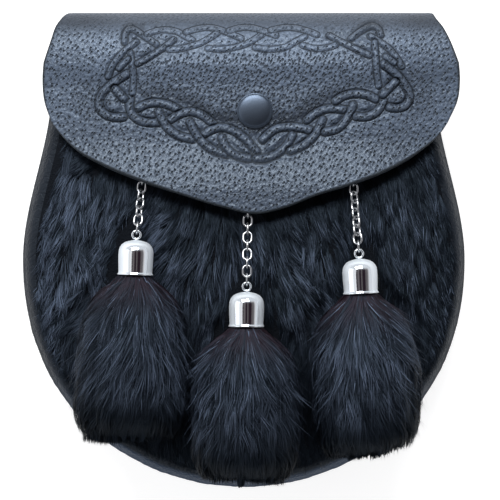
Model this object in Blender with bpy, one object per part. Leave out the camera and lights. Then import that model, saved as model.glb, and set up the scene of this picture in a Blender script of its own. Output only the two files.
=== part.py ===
"""A semi-dress sporran that lies on its back.

+X is to its right, +Y its top and +Z out of its front. Sizes are in millimetres here, and
every mesh is scaled to metres as it is made. The pouch is a back panel, a gusset and a
domed front panel. A fur front, a flap that rolls over the top, and three tassels on
chains make the face.
"""

import math
import random

import bmesh
import bpy
import numpy as np
from mathutils import Matrix, Vector

MM = 0.001
GAP = 0.3
# Added to every place along Y, so that the origin is below the middle of the whole.
MIDDLE_SHIFT = 0.9

# Body outline, seen from the front: widest at WIDE_Y, a round bottom and a drawn-in top.
HALF_WIDTH = 95.2
WIDE_Y = -4.5
BOTTOM_DEPTH = 98.0
BOTTOM_EXPONENT = 2.2
TOP_NARROWING = 12.5
TOP_RUN = 75.0
MOUTH_Y = 77.4
CORNER = 0.34
SIDE_POINTS = 60
BOTTOM_POINTS = 240
PANEL_ROWS = 11
PANEL_COLUMNS = 12

# Back panel: flat on the ground below LIFT_FROM, bowed up behind the belt loops.
BACK_THICKNESS = 2.0
BACK_LIFT = 4.9
LIFT_FROM = -36.0
LIFT_TO = 2.0

# Gusset section, from the back panel to the front panel: how far in from the outline, and
# how far up between the foot and the lip.
GUSSET_THICKNESS = 1.6
GUSSET_FOOT_GAP = 0.7
GUSSET_LIP_Z = 31.0
GUSSET_SECTION = (
    # inset, rise
    (2.8, 0.00),
    (1.2, 0.20),
    (1.0, 0.50),
    (2.2, 0.79),
    (4.8, 0.94),
    (10.6, 1.00),
)
GUSSET_STATIONS = 35

# Front panel: a shallow dome, lower towards the mouth and the bottom.
PANEL_INSET = 8.3
PANEL_THICKNESS = 1.6
PANEL_EDGE_Z = 33.0
DOME_RISE = 9.5
DOME_EXPONENT = 2.6
MOUTH_DROP = 5.5
BOTTOM_Y = WIDE_Y - BOTTOM_DEPTH

# Fur front: rows of pointed locks on a thin backing, pressed where things lie on it.
FUR_INSET = 7.3
FUR_BACKING = 1.0
FUR_DEPTH = 6.3
FUR_UNDER_FLAP = 1.0
FUR_UNDER_TASSEL = 2.0
FUR_TOP_Y = 66.0
FUR_TOP_DIP = 22.0
FUR_ROWS = 8
FUR_COLUMNS = 26
# Each row of locks has three lines across it. Columns are ridges and the dips between by
# turns, and a dip in one row lies above a ridge of the next.
LOCK_TIP_REACH = 0.26
LOCK_DIP_REACH = -0.12
LOCK_BELLY = 0.62
LOCK_STEP = 0.03
LOCK_DEPTHS = {
    # line: part of the depth on a ridge, in a dip
    "roots": (0.22, 0.22),
    "bellies": (1.00, 0.55),
    "tips": (0.80, 0.30),
}

# Flap: its middle, its fold over the top, and the edges that show in front.
FLAP_MIDDLE_X = 3.5
FLAP_THICKNESS = 2.0
FLAP_TAIL_Y = 58.0
FLAP_TAIL_Z = 2.6
FOLD_Y = 78.7
FOLD_REACH = 22.0
FOLD_TOP_Z = 47.2
STUD_LEVEL_Z = 45.6
LIFT_OVER_FUR = 6.5
SIDE_DROOP = 6.0
FLAP_COLUMNS = 16
FLAP_CLOSER_ENDS = 0.5
FLAP_FRONT_ROWS = 7
FLAP_ROLL_ROWS = 8
FLAP_ROLL_SIDES = (
    # degrees round the roll from the front, left x, right x
    (0.0, -84.4, 90.8),
    (28.0, -81.2, 86.9),
    (45.0, -79.6, 84.3),
    (60.0, -77.6, 81.9),
    (90.0, -74.5, 80.5),
    (180.0, -72.0, 78.0),
)
FLAP_FRONT_SIDES = (
    # y, left x, right x
    (78.7, -84.4, 90.8),
    (71.2, -84.9, 91.3),
    (62.9, -84.2, 90.3),
    (53.7, -81.2, 86.2),
)
FLAP_LOWER_EDGE = (
    # x, y
    (-81.2, 53.7),
    (-77.3, 48.5),
    (-70.9, 42.3),
    (-59.5, 35.8),
    (-42.5, 28.7),
    (-24.5, 22.3),
    (-8.6, 17.5),
    (5.1, 14.8),
    (16.1, 17.0),
    (30.7, 22.6),
    (45.3, 27.4),
    (59.5, 33.0),
    (73.0, 40.6),
    (83.3, 49.3),
    (86.2, 53.7),
)

# Snap: a domed cap on the flap and a plain hidden post below it.
SNAP_X = 4.7
SNAP_Y = 58.3
SNAP_RADIUS = 7.5
SNAP_RIM = 0.7
SNAP_HEIGHT = 2.8
POST_RADIUS = 5.0
POST_STEM_RADIUS = 2.6
POST_FLANGE = 1.4

# Chain links are long rings of round wire. Each next one is turned a quarter.
LINK_LENGTH = 5.6
LINK_WIDTH = 4.3
LINK_WIRE = 0.9
LINK_SIDES = 10
WIRE_SIDES = 5
HANGER_TO_LINK = 0.95
LINK_TO_EYE = 3.0
CHAIN_LEVEL = 0.15

# Hangers: leather tabs under the flap with a slot near the end.
HANGER_WIDTH = 7.0
HANGER_THICKNESS = 1.2
HANGER_SLOT_WIDTH = 4.0
HANGER_SLOT_LENGTH = 2.0
HANGER_BAR = 1.6
HANGER_FOOT = 5.0

# Bell caps: height of the bell, its walls, and the eye above its top.
CAP_HEIGHT = 14.4
CAP_WALL = 0.8
CAP_SEGMENTS = 20
EYE_RISE = 2.3
EYE_RADIUS = 1.7
CAP_OUTSIDE = (
    # radius, height above the mouth
    (0.9, 15.2),
    (1.3, 14.4),
    (4.6, 13.4),
    (6.6, 11.0),
    (7.3, 7.6),
    (7.0, 1.2),
    (7.4, 0.0),
)
CAP_INSIDE = (
    # radius, height above the mouth
    (6.5, 0.0),
    (6.2, 8.0),
    (3.6, 12.2),
)

# Each drop: where its hanger's bar, its cap's top and its tassel's end are, how high each
# lies, its links, how far the chain twists, and how much the tassel draws in at its end.
DROPS = (
    # side, bar x, y, z, top x, y, cap z, end x, y, z, links, twist, taper
    ("left", -42.3, 30.6, 46.1, -44.8, 3.8, 52.5, -47.5, -80.5, 47.0, 7, 35.0, 0.04),
    ("middle", 1.9, 23.5, 47.6, 1.3, -17.8, 54.0, 0.5, -98.0, 46.0, 11, 0.0, 0.14),
    ("right", 45.8, 29.8, 46.3, 48.3, -4.0, 52.5, 52.5, -88.0, 47.0, 9, 45.0, 0.16),
)

# Tassels: half width, half thickness and how much the locks stand out along the length.
TASSEL_COLUMNS = 24
TASSEL_NECK = 5.4
TASSEL_HEAD = 7.0
TASSEL_PROFILE = (
    # part of the length, half width, half thickness, belly, lock relief
    (0.04, 9.4, 7.2, 0.5, 0.03),
    (0.12, 15.6, 9.4, 1.2, 0.05),
    (0.24, 20.2, 11.2, 2.2, 0.06),
    (0.40, 22.6, 12.2, 3.2, 0.07),
    (0.58, 23.6, 12.4, 3.6, 0.08),
    (0.75, 23.6, 12.0, 3.2, 0.09),
    (0.88, 21.8, 10.8, 2.2, 0.10),
)
TASSEL_TIP = (0.955, 18.6, 8.6)
TASSEL_TIP_SWING = 0.04
TASSEL_UNDERSIDE = (0.90, 14.5, 6.0)
TASSEL_HOLLOW = 0.02

# Belt loops: strips on the back, pressed flat, that a 25 mm strap passes through.
LOOP_X = 38.0
LOOP_WIDTH = 18.0
LOOP_THICKNESS = 1.8
LOOP_PROFILE = (
    # y, z of the outer face
    (4.0, 2.8),
    (10.0, 2.8),
    (15.0, 0.0),
    (45.0, 0.0),
    (50.0, 2.8),
    (56.0, 2.8),
)

COLOURS = {
    # base colour, metallic, roughness
    "smooth leather": ((0.018, 0.020, 0.024, 1.0), 0.0, 0.45),
    "pebbled leather": ((0.060, 0.070, 0.090, 1.0), 0.0, 0.50),
    "fur": ((0.012, 0.014, 0.020, 1.0), 0.0, 0.85),
    "gunmetal": ((0.120, 0.130, 0.150, 1.0), 1.0, 0.35),
    "chrome": ((0.750, 0.760, 0.770, 1.0), 1.0, 0.12),
}


def smooth(t):
    """0 to 1 with level ends, and held outside that range."""
    t = min(max(t, 0.0), 1.0)
    return t * t * (3.0 - 2.0 * t)


# Outline of the body


def half_width(y):
    if y >= WIDE_Y:
        return HALF_WIDTH - TOP_NARROWING * smooth((y - WIDE_Y) / TOP_RUN)
    part = min((WIDE_Y - y) / BOTTOM_DEPTH, 1.0)
    return HALF_WIDTH * math.sqrt(1.0 - part**BOTTOM_EXPONENT)


def body_outline():
    """Points from the left end of the mouth, round the bottom, to the right end."""
    left = [(-half_width(y), y) for y in np.linspace(MOUTH_Y, WIDE_Y, SIDE_POINTS)]
    bottom = []
    for angle in np.linspace(0.0, math.pi, BOTTOM_POINTS + 1)[1:-1]:
        y = WIDE_Y - BOTTOM_DEPTH * math.sin(angle) ** (2.0 / BOTTOM_EXPONENT)
        bottom.append((-HALF_WIDTH * math.cos(angle), y))
    return np.array(left + bottom + [(-x, y) for x, y in reversed(left)])


OUTLINE = body_outline()
STEPS = np.hypot(*np.diff(OUTLINE, axis=0).T)
ALONG = np.concatenate([[0.0], np.cumsum(STEPS)]) / STEPS.sum()


def rim(t, inset):
    """The outline's point at part t of its length, moved in towards the middle."""
    x, y = (np.interp(t, ALONG, OUTLINE[:, axis]) for axis in (0, 1))
    before, after = (
        np.array([np.interp(s, ALONG, OUTLINE[:, axis]) for axis in (0, 1)])
        for s in (max(t - 0.004, 0.0), min(t + 0.004, 1.0))
    )
    across = after - before
    inward = np.array([-across[1], across[0]]) / np.hypot(*across)
    return np.array([x, y]) + inward * inset


def body_point(u, v, inset, start=0.0, dip=0.0):
    """A place on the body: u from left to right, v from the top edge to the bottom one."""
    corner = CORNER - start

    def side(s):
        return rim(start + corner * s, inset)

    def other(s):
        return rim(1.0 - start - corner * s, inset)

    left, right = side(v), other(v)
    bottom = rim(CORNER + (1.0 - 2.0 * CORNER) * u, inset)
    top = side(0.0) * (1.0 - u) + other(0.0) * u
    top[1] -= dip * (1.0 - (2.0 * u - 1.0) ** 2)
    corners = (
        side(0.0) * (1 - u) * (1 - v)
        + other(0.0) * u * (1 - v)
        + side(1.0) * (1 - u) * v
        + other(1.0) * u * v
    )
    return left * (1 - u) + right * u + top * (1 - v) + bottom * v - corners


# Heights of the surfaces that other pieces lie on


def back_z(y):
    return BACK_LIFT * smooth((y - LIFT_FROM) / (LIFT_TO - LIFT_FROM))


def panel_z(x, y):
    if y > 0.0:
        rise = DOME_RISE - MOUTH_DROP * smooth(y / MOUTH_Y)
    else:
        rise = DOME_RISE * (1.0 - min(y / BOTTOM_Y, 1.0) ** 2.5)
    reach = max(half_width(y) - PANEL_INSET, 1.0)
    return PANEL_EDGE_Z + rise * max(1.0 - abs(x / reach) ** DOME_EXPONENT, 0.0)


def flap_edge_y(x):
    """How far down the flap reaches at this place across it."""
    edge_x, edge_y = zip(*FLAP_LOWER_EDGE)
    return float(np.interp(x, edge_x, edge_y))


def flap_z(x, y):
    """Outer face of the flap's front: low at the snap, up over the fur, drooping sides."""
    fold = (FOLD_TOP_Z - STUD_LEVEL_Z) * smooth((y - 68.0) / (FOLD_Y - 68.0))
    over_fur = LIFT_OVER_FUR * smooth((48.0 - y) / 25.0)
    droop = SIDE_DROOP * smooth((abs(x - FLAP_MIDDLE_X) - 45.0) / 48.0)
    return STUD_LEVEL_Z + fold + over_fur - droop


def off_line(x, y, start, end):
    """How far a place is from a line between two places, and how far along it lies."""
    line = Vector((end[0] - start[0], end[1] - start[1]))
    place = Vector((x - start[0], y - start[1]))
    part = min(max(place.dot(line) / line.length_squared, 0.0), 1.0)
    return (place - line * part).length, part


def fur_depth(x, y):
    """The locks' height above the backing, pressed by what lies on the fur."""
    depth = FUR_DEPTH
    flap = smooth((y - flap_edge_y(x) + 7.0) / 6.0)
    depth -= (FUR_DEPTH - FUR_UNDER_FLAP) * flap
    pressed = min(depth, FUR_UNDER_TASSEL)
    for drop in DROPS:
        bar, top, end = drop[1:3], drop[4:6], drop[7:9]
        off, _ = off_line(x, y, bar, top)
        near = smooth((8.0 - off) / 5.0)
        off, part = off_line(x, y, top, end)
        spread = 10.0 + 16.0 * smooth(part * 4.0 - 0.4)
        near = max(near, smooth((spread + 3.0 - off) / 5.0))
        depth = min(depth, depth + (pressed - depth) * near)
    return depth


def fur_z(x, y):
    return panel_z(x, y) + GAP + FUR_BACKING + fur_depth(x, y)


# Making objects


def material(name):
    made = bpy.data.materials.get(name) or bpy.data.materials.new(name)
    made.use_nodes = True
    shader = made.node_tree.nodes["Principled BSDF"]
    colour, metallic, roughness = COLOURS[name]
    shader.inputs["Base Color"].default_value = colour
    shader.inputs["Metallic"].default_value = metallic
    shader.inputs["Roughness"].default_value = roughness
    return made


def object_from(name, build, look):
    """A new object from a bmesh in millimetres."""
    bmesh.ops.scale(build, vec=(MM, MM, MM), verts=build.verts)
    mesh = bpy.data.meshes.new(name)
    build.to_mesh(mesh)
    build.free()
    mesh.materials.append(material(look))
    mesh.shade_smooth()
    mesh.set_sharp_from_angle(angle=math.radians(50))
    made = bpy.data.objects.new(name, mesh)
    bpy.context.collection.objects.link(made)
    return made


def add_grid(build, points, closed=False, hole=None):
    """Faces between rows of points. A closed grid's last column meets its first.

    A hole is the (row, column) of one face to leave out.
    """
    verts = [[build.verts.new(point) for point in row] for row in points]
    columns = len(points[0])
    for i, (upper, lower) in enumerate(zip(verts, verts[1:])):
        for j in range(columns if closed else columns - 1):
            k = (j + 1) % columns
            if (i, j) != hole:
                build.faces.new((upper[j], lower[j], lower[k], upper[k]))
    return verts


def sheet(name, points, thickness, look, hole=None):
    """Leather with its outer face through these points, and its thickness behind them."""
    build = bmesh.new()
    add_grid(build, points, hole=hole)
    made = object_from(name, build, look)
    solidify = made.modifiers.new("thickness", "SOLIDIFY")
    solidify.thickness = thickness * MM
    solidify.offset = -1.0
    solidify.use_even_offset = True
    return made


def closed_grid(name, outer, inner, look):
    """A solid between two grids of the same size, with walls round their edges."""
    build = bmesh.new()
    top, under = add_grid(build, outer), add_grid(build, inner)
    for (i, j), (k, m) in edge_pairs(len(outer), len(outer[0])):
        build.faces.new((top[i][j], top[k][m], under[k][m], under[i][j]))
    bmesh.ops.recalc_face_normals(build, faces=build.faces)
    return object_from(name, build, look)


def edge_pairs(rows, columns):
    """Neighbours along the border of a grid, once round."""
    border = [(0, j) for j in range(columns)]
    border += [(i, columns - 1) for i in range(1, rows)]
    border += [(rows - 1, j) for j in range(columns - 2, -1, -1)]
    border += [(i, 0) for i in range(rows - 2, 0, -1)]
    return zip(border, border[1:] + border[:1])


def turned(name, profile, look, segments):
    """A profile of (radius, height) from the top of the axis down, spun round it."""
    build = bmesh.new()
    verts = [build.verts.new((radius, 0.0, height)) for radius, height in profile]
    for upper, lower in zip(verts, verts[1:]):
        build.edges.new((upper, lower))
    made = object_from(name, build, look)
    screw = made.modifiers.new("turned", "SCREW")
    screw.steps = segments
    screw.render_steps = segments
    screw.use_merge_vertices = True
    screw.merge_threshold = 0.00001
    screw.use_smooth_shade = True
    return made


def aim(along, roll):
    """A rotation that turns +Y along a direction, with +X level before the roll."""
    along = Vector(along).normalized()
    side = along.cross(Vector((0, 0, 1))).normalized()
    up = side.cross(along)
    turn = Matrix((side, along, up)).transposed()
    return (turn @ Matrix.Rotation(math.radians(roll), 3, "Y")).to_4x4()


# Pouch


def panel_grid(inset):
    """Places over the body, in rows from the mouth to the bottom."""
    across = np.linspace(0.0, 1.0, PANEL_COLUMNS + 1)
    down = np.linspace(0.0, 1.0, PANEL_ROWS + 1)
    return [[body_point(u, v, inset) for u in across] for v in down]


def add_back_panel():
    rows = [[(x, y, back_z(y)) for x, y in row[::-1]] for row in panel_grid(0.0)]
    sheet("back_panel", rows, BACK_THICKNESS, "smooth leather")


def add_gusset():
    rows = []
    for t in np.linspace(0.0, 1.0, GUSSET_STATIONS):
        foot = back_z(rim(t, 0.0)[1]) + BACK_THICKNESS + GUSSET_FOOT_GAP
        row = []
        for inset, rise in GUSSET_SECTION:
            x, y = rim(t, inset)
            row.append((x, y, foot + (GUSSET_LIP_Z - foot) * rise))
        rows.append(row)
    sheet("gusset", rows, GUSSET_THICKNESS, "smooth leather")


def add_front_panel():
    rows = [[(x, y, panel_z(x, y)) for x, y in row] for row in panel_grid(PANEL_INSET)]
    sheet("front_panel", rows, PANEL_THICKNESS, "smooth leather")


# Fur front


def lock_line(row, line, ridge):
    """How far down the fur a line runs at one column, in rows, and its part of the depth."""
    part = LOCK_DEPTHS[line][0 if ridge else 1]
    if line == "roots":
        above = LOCK_DIP_REACH if ridge else LOCK_TIP_REACH
        return (row + above + LOCK_STEP if row else 0.0), part
    if line == "bellies":
        return row + LOCK_BELLY, part
    reach = LOCK_TIP_REACH if ridge else LOCK_DIP_REACH
    return min(row + 1 + reach, FUR_ROWS), part


def add_front_fur():
    sides = slice(0, SIDE_POINTS)
    start = float(np.interp(-FUR_TOP_Y, -OUTLINE[sides, 1], ALONG[sides]))

    def fur_point(u, v):
        return body_point(u, v, FUR_INSET, start, FUR_TOP_DIP)

    lines = [(row, line) for row in range(FUR_ROWS) for line in LOCK_DEPTHS]
    across = np.linspace(0.0, 1.0, FUR_COLUMNS + 1)
    chance = random.Random(5)
    outer, inner = [], []
    for index, (row, line) in enumerate(lines):
        hair, skin = [], []
        for column, u in enumerate(across):
            down, part = lock_line(row, line, (column + row) % 2 == 0)
            x, y = fur_point(u, down / FUR_ROWS)
            height = fur_depth(x, y) * part * chance.uniform(0.88, 1.0)
            hair.append((x, y, panel_z(x, y) + GAP + FUR_BACKING + height))
            x, y = fur_point(u, index / (len(lines) - 1))
            skin.append((x, y, panel_z(x, y) + GAP))
        outer.append(hair)
        inner.append(skin)
    closed_grid("front_fur", outer, inner, "fur")


# Flap


def flap_front(u, v):
    """A place on the flap's front: u from left to right, v from the fold to the edge."""
    y_side, left_x, right_x = (np.array(column) for column in zip(*FLAP_FRONT_SIDES))
    edge_x, edge_y = (np.array(column) for column in zip(*FLAP_LOWER_EDGE))
    lengths = np.concatenate([[0.0], np.cumsum(np.hypot(np.diff(edge_x), np.diff(edge_y)))])
    point = lengths[edge_y.argmin()]
    part = np.interp(lengths, (0.0, point, lengths[-1]), (0.0, 0.5, 1.0))

    def side(s, xs):
        y = FOLD_Y + (y_side[-1] - FOLD_Y) * s
        return np.array([np.interp(-y, -y_side, xs), y])

    left, right = side(v, left_x), side(v, right_x)
    bottom = np.array([np.interp(u, part, edge_x), np.interp(u, part, edge_y)])
    top = side(0.0, left_x) * (1 - u) + side(0.0, right_x) * u
    corners = (
        side(0.0, left_x) * (1 - u) * (1 - v)
        + side(0.0, right_x) * u * (1 - v)
        + side(1.0, left_x) * (1 - u) * v
        + side(1.0, right_x) * u * v
    )
    return left * (1 - u) + right * u + top * (1 - v) + bottom * v - corners


def add_flap():
    even = np.linspace(0.0, 1.0, FLAP_COLUMNS + 1)
    across = even - FLAP_CLOSER_ENDS * np.sin(2 * math.pi * even) / (2 * math.pi)
    middle_z = (FOLD_TOP_Z + FLAP_TAIL_Z) / 2
    reach_z = (FOLD_TOP_Z - FLAP_TAIL_Z) / 2
    degrees, left_x, right_x = zip(*FLAP_ROLL_SIDES)
    rows = []
    for y in (FLAP_TAIL_Y, (FLAP_TAIL_Y + FOLD_Y) / 2):
        rows.append([(left_x[-1] * (1 - u) + right_x[-1] * u, y, FLAP_TAIL_Z) for u in across])
    for turn in np.linspace(180.0, 0.0, FLAP_ROLL_ROWS + 1):
        left, right = np.interp(turn, degrees, left_x), np.interp(turn, degrees, right_x)
        y = FOLD_Y + FOLD_REACH * math.sin(math.radians(turn))
        row = []
        for u in across:
            x = left * (1 - u) + right * u
            droop = (flap_z(FLAP_MIDDLE_X, FOLD_Y) - flap_z(x, FOLD_Y)) * (1 - smooth(turn / 90.0))
            row.append((x, y, middle_z + reach_z * math.cos(math.radians(turn)) - droop))
        rows.append(row)
    for v in np.linspace(0.0, 1.0, FLAP_FRONT_ROWS + 1)[1:]:
        places = [flap_front(u, v) for u in across]
        rows.append([(x, y, flap_z(x, y)) for x, y in places])
    sheet("flap", rows, FLAP_THICKNESS, "pebbled leather")


# Snap


def add_snap():
    dome = [
        (SNAP_RADIUS * math.sin(angle), SNAP_RIM + (SNAP_HEIGHT - SNAP_RIM) * math.cos(angle))
        for angle in np.linspace(0.0, math.pi / 2, 6)
    ]
    dome[-1] = (SNAP_RADIUS, SNAP_RIM)
    profile = dome + [(SNAP_RADIUS, 0.0), (0.0, 0.0)]
    cap = turned("snap_cap", profile, "gunmetal", 24)
    cap.location = (SNAP_X * MM, SNAP_Y * MM, (STUD_LEVEL_Z + GAP) * MM)

    foot = panel_z(SNAP_X, SNAP_Y - POST_RADIUS) + GAP
    height = STUD_LEVEL_Z - FLAP_THICKNESS - GAP - foot
    profile = (
        (0.0, height),
        (POST_RADIUS, height),
        (POST_RADIUS, height - POST_FLANGE),
        (POST_STEM_RADIUS, height - POST_FLANGE),
        (POST_STEM_RADIUS, POST_FLANGE),
        (POST_RADIUS, POST_FLANGE),
        (POST_RADIUS, 0.0),
        (0.0, 0.0),
    )
    post = turned("snap_post", profile, "gunmetal", 12)
    post.location = (SNAP_X * MM, SNAP_Y * MM, foot * MM)


# Chains, caps and tassels


def ring_mesh(name, length, width, look):
    """A ring of round wire in the XY plane, drawn out along Y."""
    bpy.ops.mesh.primitive_torus_add(
        major_segments=LINK_SIDES,
        minor_segments=WIRE_SIDES,
        major_radius=(width - LINK_WIRE) / 2 * MM,
        minor_radius=LINK_WIRE / 2 * MM,
    )
    made = bpy.context.active_object
    made.name = name
    stretch = (length - width) / 2 * MM
    for vert in made.data.vertices:
        if abs(vert.co.y) > LINK_WIRE / 2 * MM:
            vert.co.y += math.copysign(stretch, vert.co.y)
    made.data.materials.append(material(look))
    made.data.shade_smooth()
    return made


def add_chain(side, bar, eye, links, twist):
    """Links from the hanger's bar to the cap's eye, each turned a quarter on the last.

    The twist is full in the middle and gone at both ends, where the bar and the eye lie level.
    """
    run = eye - bar
    spare = run.length - HANGER_TO_LINK - LINK_TO_EYE
    pitch = spare / (links - 1)

    def place_at(length):
        part = length / run.length
        rise = smooth((part - CHAIN_LEVEL) / (1.0 - CHAIN_LEVEL))
        return Vector((bar.x + run.x * part, bar.y + run.y * part, bar.z + run.z * rise))

    for index in range(links):
        made = ring_mesh(f"link_{side}_{index + 1:02d}", LINK_LENGTH, LINK_WIDTH, "chrome")
        length = HANGER_TO_LINK + pitch * index
        along = place_at(length + pitch / 2) - place_at(length - pitch / 2)
        roll = 90.0 * (index + 1) + twist * smooth(min(index, links - 1 - index) / 2)
        made.matrix_world = Matrix.Translation(place_at(length) * MM) @ aim(along, roll)


def add_hanger(side, bar):
    """A tab from the bare leather above the fur to the bar that holds the first link."""
    fur_reach = half_width(FUR_TOP_Y) - FUR_INSET
    fur_edge = FUR_TOP_Y - FUR_TOP_DIP * (1.0 - (bar.x / fur_reach) ** 2)
    slot = bar.y + HANGER_BAR / 2
    foot = fur_edge + 3.0
    over_fur = fur_z(bar.x, fur_edge)
    centre = [
        (foot + HANGER_FOOT, panel_z(bar.x, foot) + GAP + HANGER_THICKNESS),
        (foot, panel_z(bar.x, foot) + GAP + HANGER_THICKNESS),
        (fur_edge + 0.5, over_fur + GAP + HANGER_THICKNESS),
        (slot + HANGER_SLOT_LENGTH, bar.z + HANGER_THICKNESS / 2),
        (slot, bar.z + HANGER_THICKNESS / 2),
        (bar.y - HANGER_BAR / 2, bar.z + HANGER_THICKNESS / 2),
    ]
    half, slot_half = HANGER_WIDTH / 2, HANGER_SLOT_WIDTH / 2
    across = (-half, -slot_half, slot_half, half)
    rows = [[(bar.x + x, y, z) for x in across] for y, z in centre]
    sheet(f"hanger_{side}", rows, HANGER_THICKNESS, "smooth leather", hole=(3, 1))


def add_cap(side, top, along):
    """A hollow bell, mouth away from the chain, with an eye fused to its top."""
    profile = [(0.0, CAP_OUTSIDE[0][1]), *CAP_OUTSIDE, *CAP_INSIDE]
    profile.append((0.0, CAP_HEIGHT - CAP_WALL))
    cap = turned(f"cap_{side}", profile, "chrome", CAP_SEGMENTS)
    eye_width = 2 * EYE_RADIUS + LINK_WIRE
    eye = ring_mesh(f"eye_{side}", eye_width, eye_width, "chrome")
    upright = Matrix.Rotation(math.radians(90), 4, "X")
    eye.matrix_world = Matrix.Translation((0, 0, (CAP_HEIGHT + EYE_RISE) * MM)) @ upright
    eye.parent = cap
    eye.hide_render = True
    eye.display_type = "WIRE"
    union = cap.modifiers.new("eye", "BOOLEAN")
    union.operation = "UNION"
    union.solver = "EXACT"
    union.object = eye
    mouth = top - along * CAP_HEIGHT
    stand = Matrix.Rotation(math.radians(-90), 4, "X")
    cap.matrix_world = Matrix.Translation(mouth * MM) @ aim(along, 0.0) @ stand
    return mouth


def inside_outline(x, y):
    return y > BOTTOM_Y and abs(x) < half_width(y)


def tassel_ring(centre, side, half_w, half_t, belly, relief, drop=None):
    """Points round a tassel, kept clear above the fur that it lies on."""
    points = []
    for column in range(TASSEL_COLUMNS):
        angle = 2 * math.pi * column / TASSEL_COLUMNS
        ridge = 1.0 if column % 2 == 0 else -1.0
        swell = 1.0 + relief * ridge
        place = centre + side * (half_w * swell * math.cos(angle))
        place.z += half_t * swell * math.sin(angle) + belly * max(math.sin(angle), 0.0)
        if drop:
            place += drop(column)
        if inside_outline(place.x, place.y):
            place.z = max(place.z, fur_z(place.x, place.y) + 0.9)
        points.append(tuple(place))
    return points


def add_tassel(side, mouth, end, along, taper):
    """Locks fused to a head: the head fills the cap, and the locks fan out below it."""
    chance = random.Random(len(side))
    run = end - mouth
    down = run.normalized()
    level = Vector((-down.y, down.x, 0.0)).normalized()

    def station(part, wide, thick, belly=0.0, relief=0.0, drop=None):
        wide *= 1.0 - taper * max(part - 0.4, 0.0) / 0.6
        return tassel_ring(mouth + run * part, level, wide, thick, belly, relief, drop)

    rings = []
    for height in (TASSEL_HEAD, -GAP):
        place = mouth + along * height
        rings.append(tassel_ring(place, level, TASSEL_NECK, TASSEL_NECK, 0.0, 0.0))
    for part, wide, thick, belly, relief in TASSEL_PROFILE:
        rings.append(station(part, wide, thick, belly, relief))
    swings = [
        run * (TASSEL_TIP_SWING * (1 if column % 2 == 0 else -1) * chance.uniform(0.5, 1.1))
        for column in range(TASSEL_COLUMNS)
    ]
    rings.append(station(*TASSEL_TIP, 0.0, 0.1, lambda column: swings[column]))
    rings.append(station(*TASSEL_UNDERSIDE, 0.0, 0.0))

    build = bmesh.new()
    verts = add_grid(build, rings, closed=True)
    for ring, part in ((verts[0], None), (verts[-1], TASSEL_UNDERSIDE[0] - TASSEL_HOLLOW)):
        middle = sum((vert.co for vert in ring), Vector()) / len(ring)
        if part:
            middle = mouth + run * part
            middle.z = sum(vert.co.z for vert in ring) / len(ring)
        centre = build.verts.new(middle)
        for a, b in zip(ring, ring[1:] + ring[:1]):
            build.faces.new((a, b, centre))
    bmesh.ops.recalc_face_normals(build, faces=build.faces)
    object_from(f"tassel_{side}", build, "fur")


def add_drops():
    for side, *places, links, twist, taper in DROPS:
        bar, top, end = (Vector(places[first : first + 3]) for first in (0, 3, 6))
        lean = Vector((top.x - end.x, top.y - end.y, 0.0)).normalized()
        eye = top + lean * EYE_RISE
        add_hanger(side, bar)
        add_chain(side, bar, eye, links, twist)
        mouth = add_cap(side, top, lean)
        add_tassel(side, mouth, end, lean, taper)


# Belt loops


def add_belt_loops():
    for side, middle in (("left", -LOOP_X), ("right", LOOP_X)):
        across = (middle + LOOP_WIDTH / 2, middle - LOOP_WIDTH / 2)
        rows = [[(x, y, z) for x in across] for y, z in reversed(LOOP_PROFILE)]
        sheet(f"belt_loop_{side}", rows, LOOP_THICKNESS, "smooth leather")


for thing in list(bpy.data.objects):
    bpy.data.objects.remove(thing, do_unlink=True)

add_back_panel()
add_gusset()
add_front_panel()
add_front_fur()
add_flap()
add_snap()
add_drops()
add_belt_loops()
for thing in bpy.context.scene.objects:
    if thing.parent is None:
        thing.location.y += MIDDLE_SHIFT * MM
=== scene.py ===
# %% [markdown]
# # Dressing a semi-dress sporran
# The real thing is a pouch of black leather, worn at the front of a kilt. It has a fur
# front, an embossed leather flap that rolls over the top and snaps shut, and three fur
# tassels that hang from chains. A solid model fixes every size, and this notebook builds
# the looks around it: soft and detailed pieces replace plain solids where that shows.
# %% Load the solids
import math
from collections import namedtuple

import bpy
import numpy as np
from mathutils import Matrix, Vector


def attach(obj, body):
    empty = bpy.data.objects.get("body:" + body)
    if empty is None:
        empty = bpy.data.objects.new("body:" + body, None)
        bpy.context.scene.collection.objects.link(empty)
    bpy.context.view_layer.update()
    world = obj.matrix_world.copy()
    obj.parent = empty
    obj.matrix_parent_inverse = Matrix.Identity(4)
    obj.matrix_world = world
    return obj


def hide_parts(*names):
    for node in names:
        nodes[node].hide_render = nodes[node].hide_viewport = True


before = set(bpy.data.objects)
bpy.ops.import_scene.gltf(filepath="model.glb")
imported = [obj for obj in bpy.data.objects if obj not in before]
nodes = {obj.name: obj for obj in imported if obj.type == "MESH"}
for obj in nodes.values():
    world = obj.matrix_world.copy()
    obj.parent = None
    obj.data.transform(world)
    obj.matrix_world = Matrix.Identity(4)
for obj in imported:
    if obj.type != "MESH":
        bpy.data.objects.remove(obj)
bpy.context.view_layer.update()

# %% [markdown]
# ## Camera
# The sporran lies on its back and is seen from straight above, as in a catalogue picture.
# A long lens from far away keeps its sides nearly parallel. A tilt would be another way,
# but then the round body would look squashed.
# %% Camera
CAMERA_PLACE = (0.00268, 0.0007, 1.5)
CAMERA_LENS = 249.5

camera_data = bpy.data.cameras.new("camera")
camera_data.lens = CAMERA_LENS
camera = bpy.data.objects.new("camera", camera_data)
camera.location = CAMERA_PLACE
bpy.context.collection.objects.link(camera)
bpy.context.scene.camera = camera
bpy.context.scene.view_settings.view_transform = "Standard"
print("camera", CAMERA_PLACE[2], "m above the floor")

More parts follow.
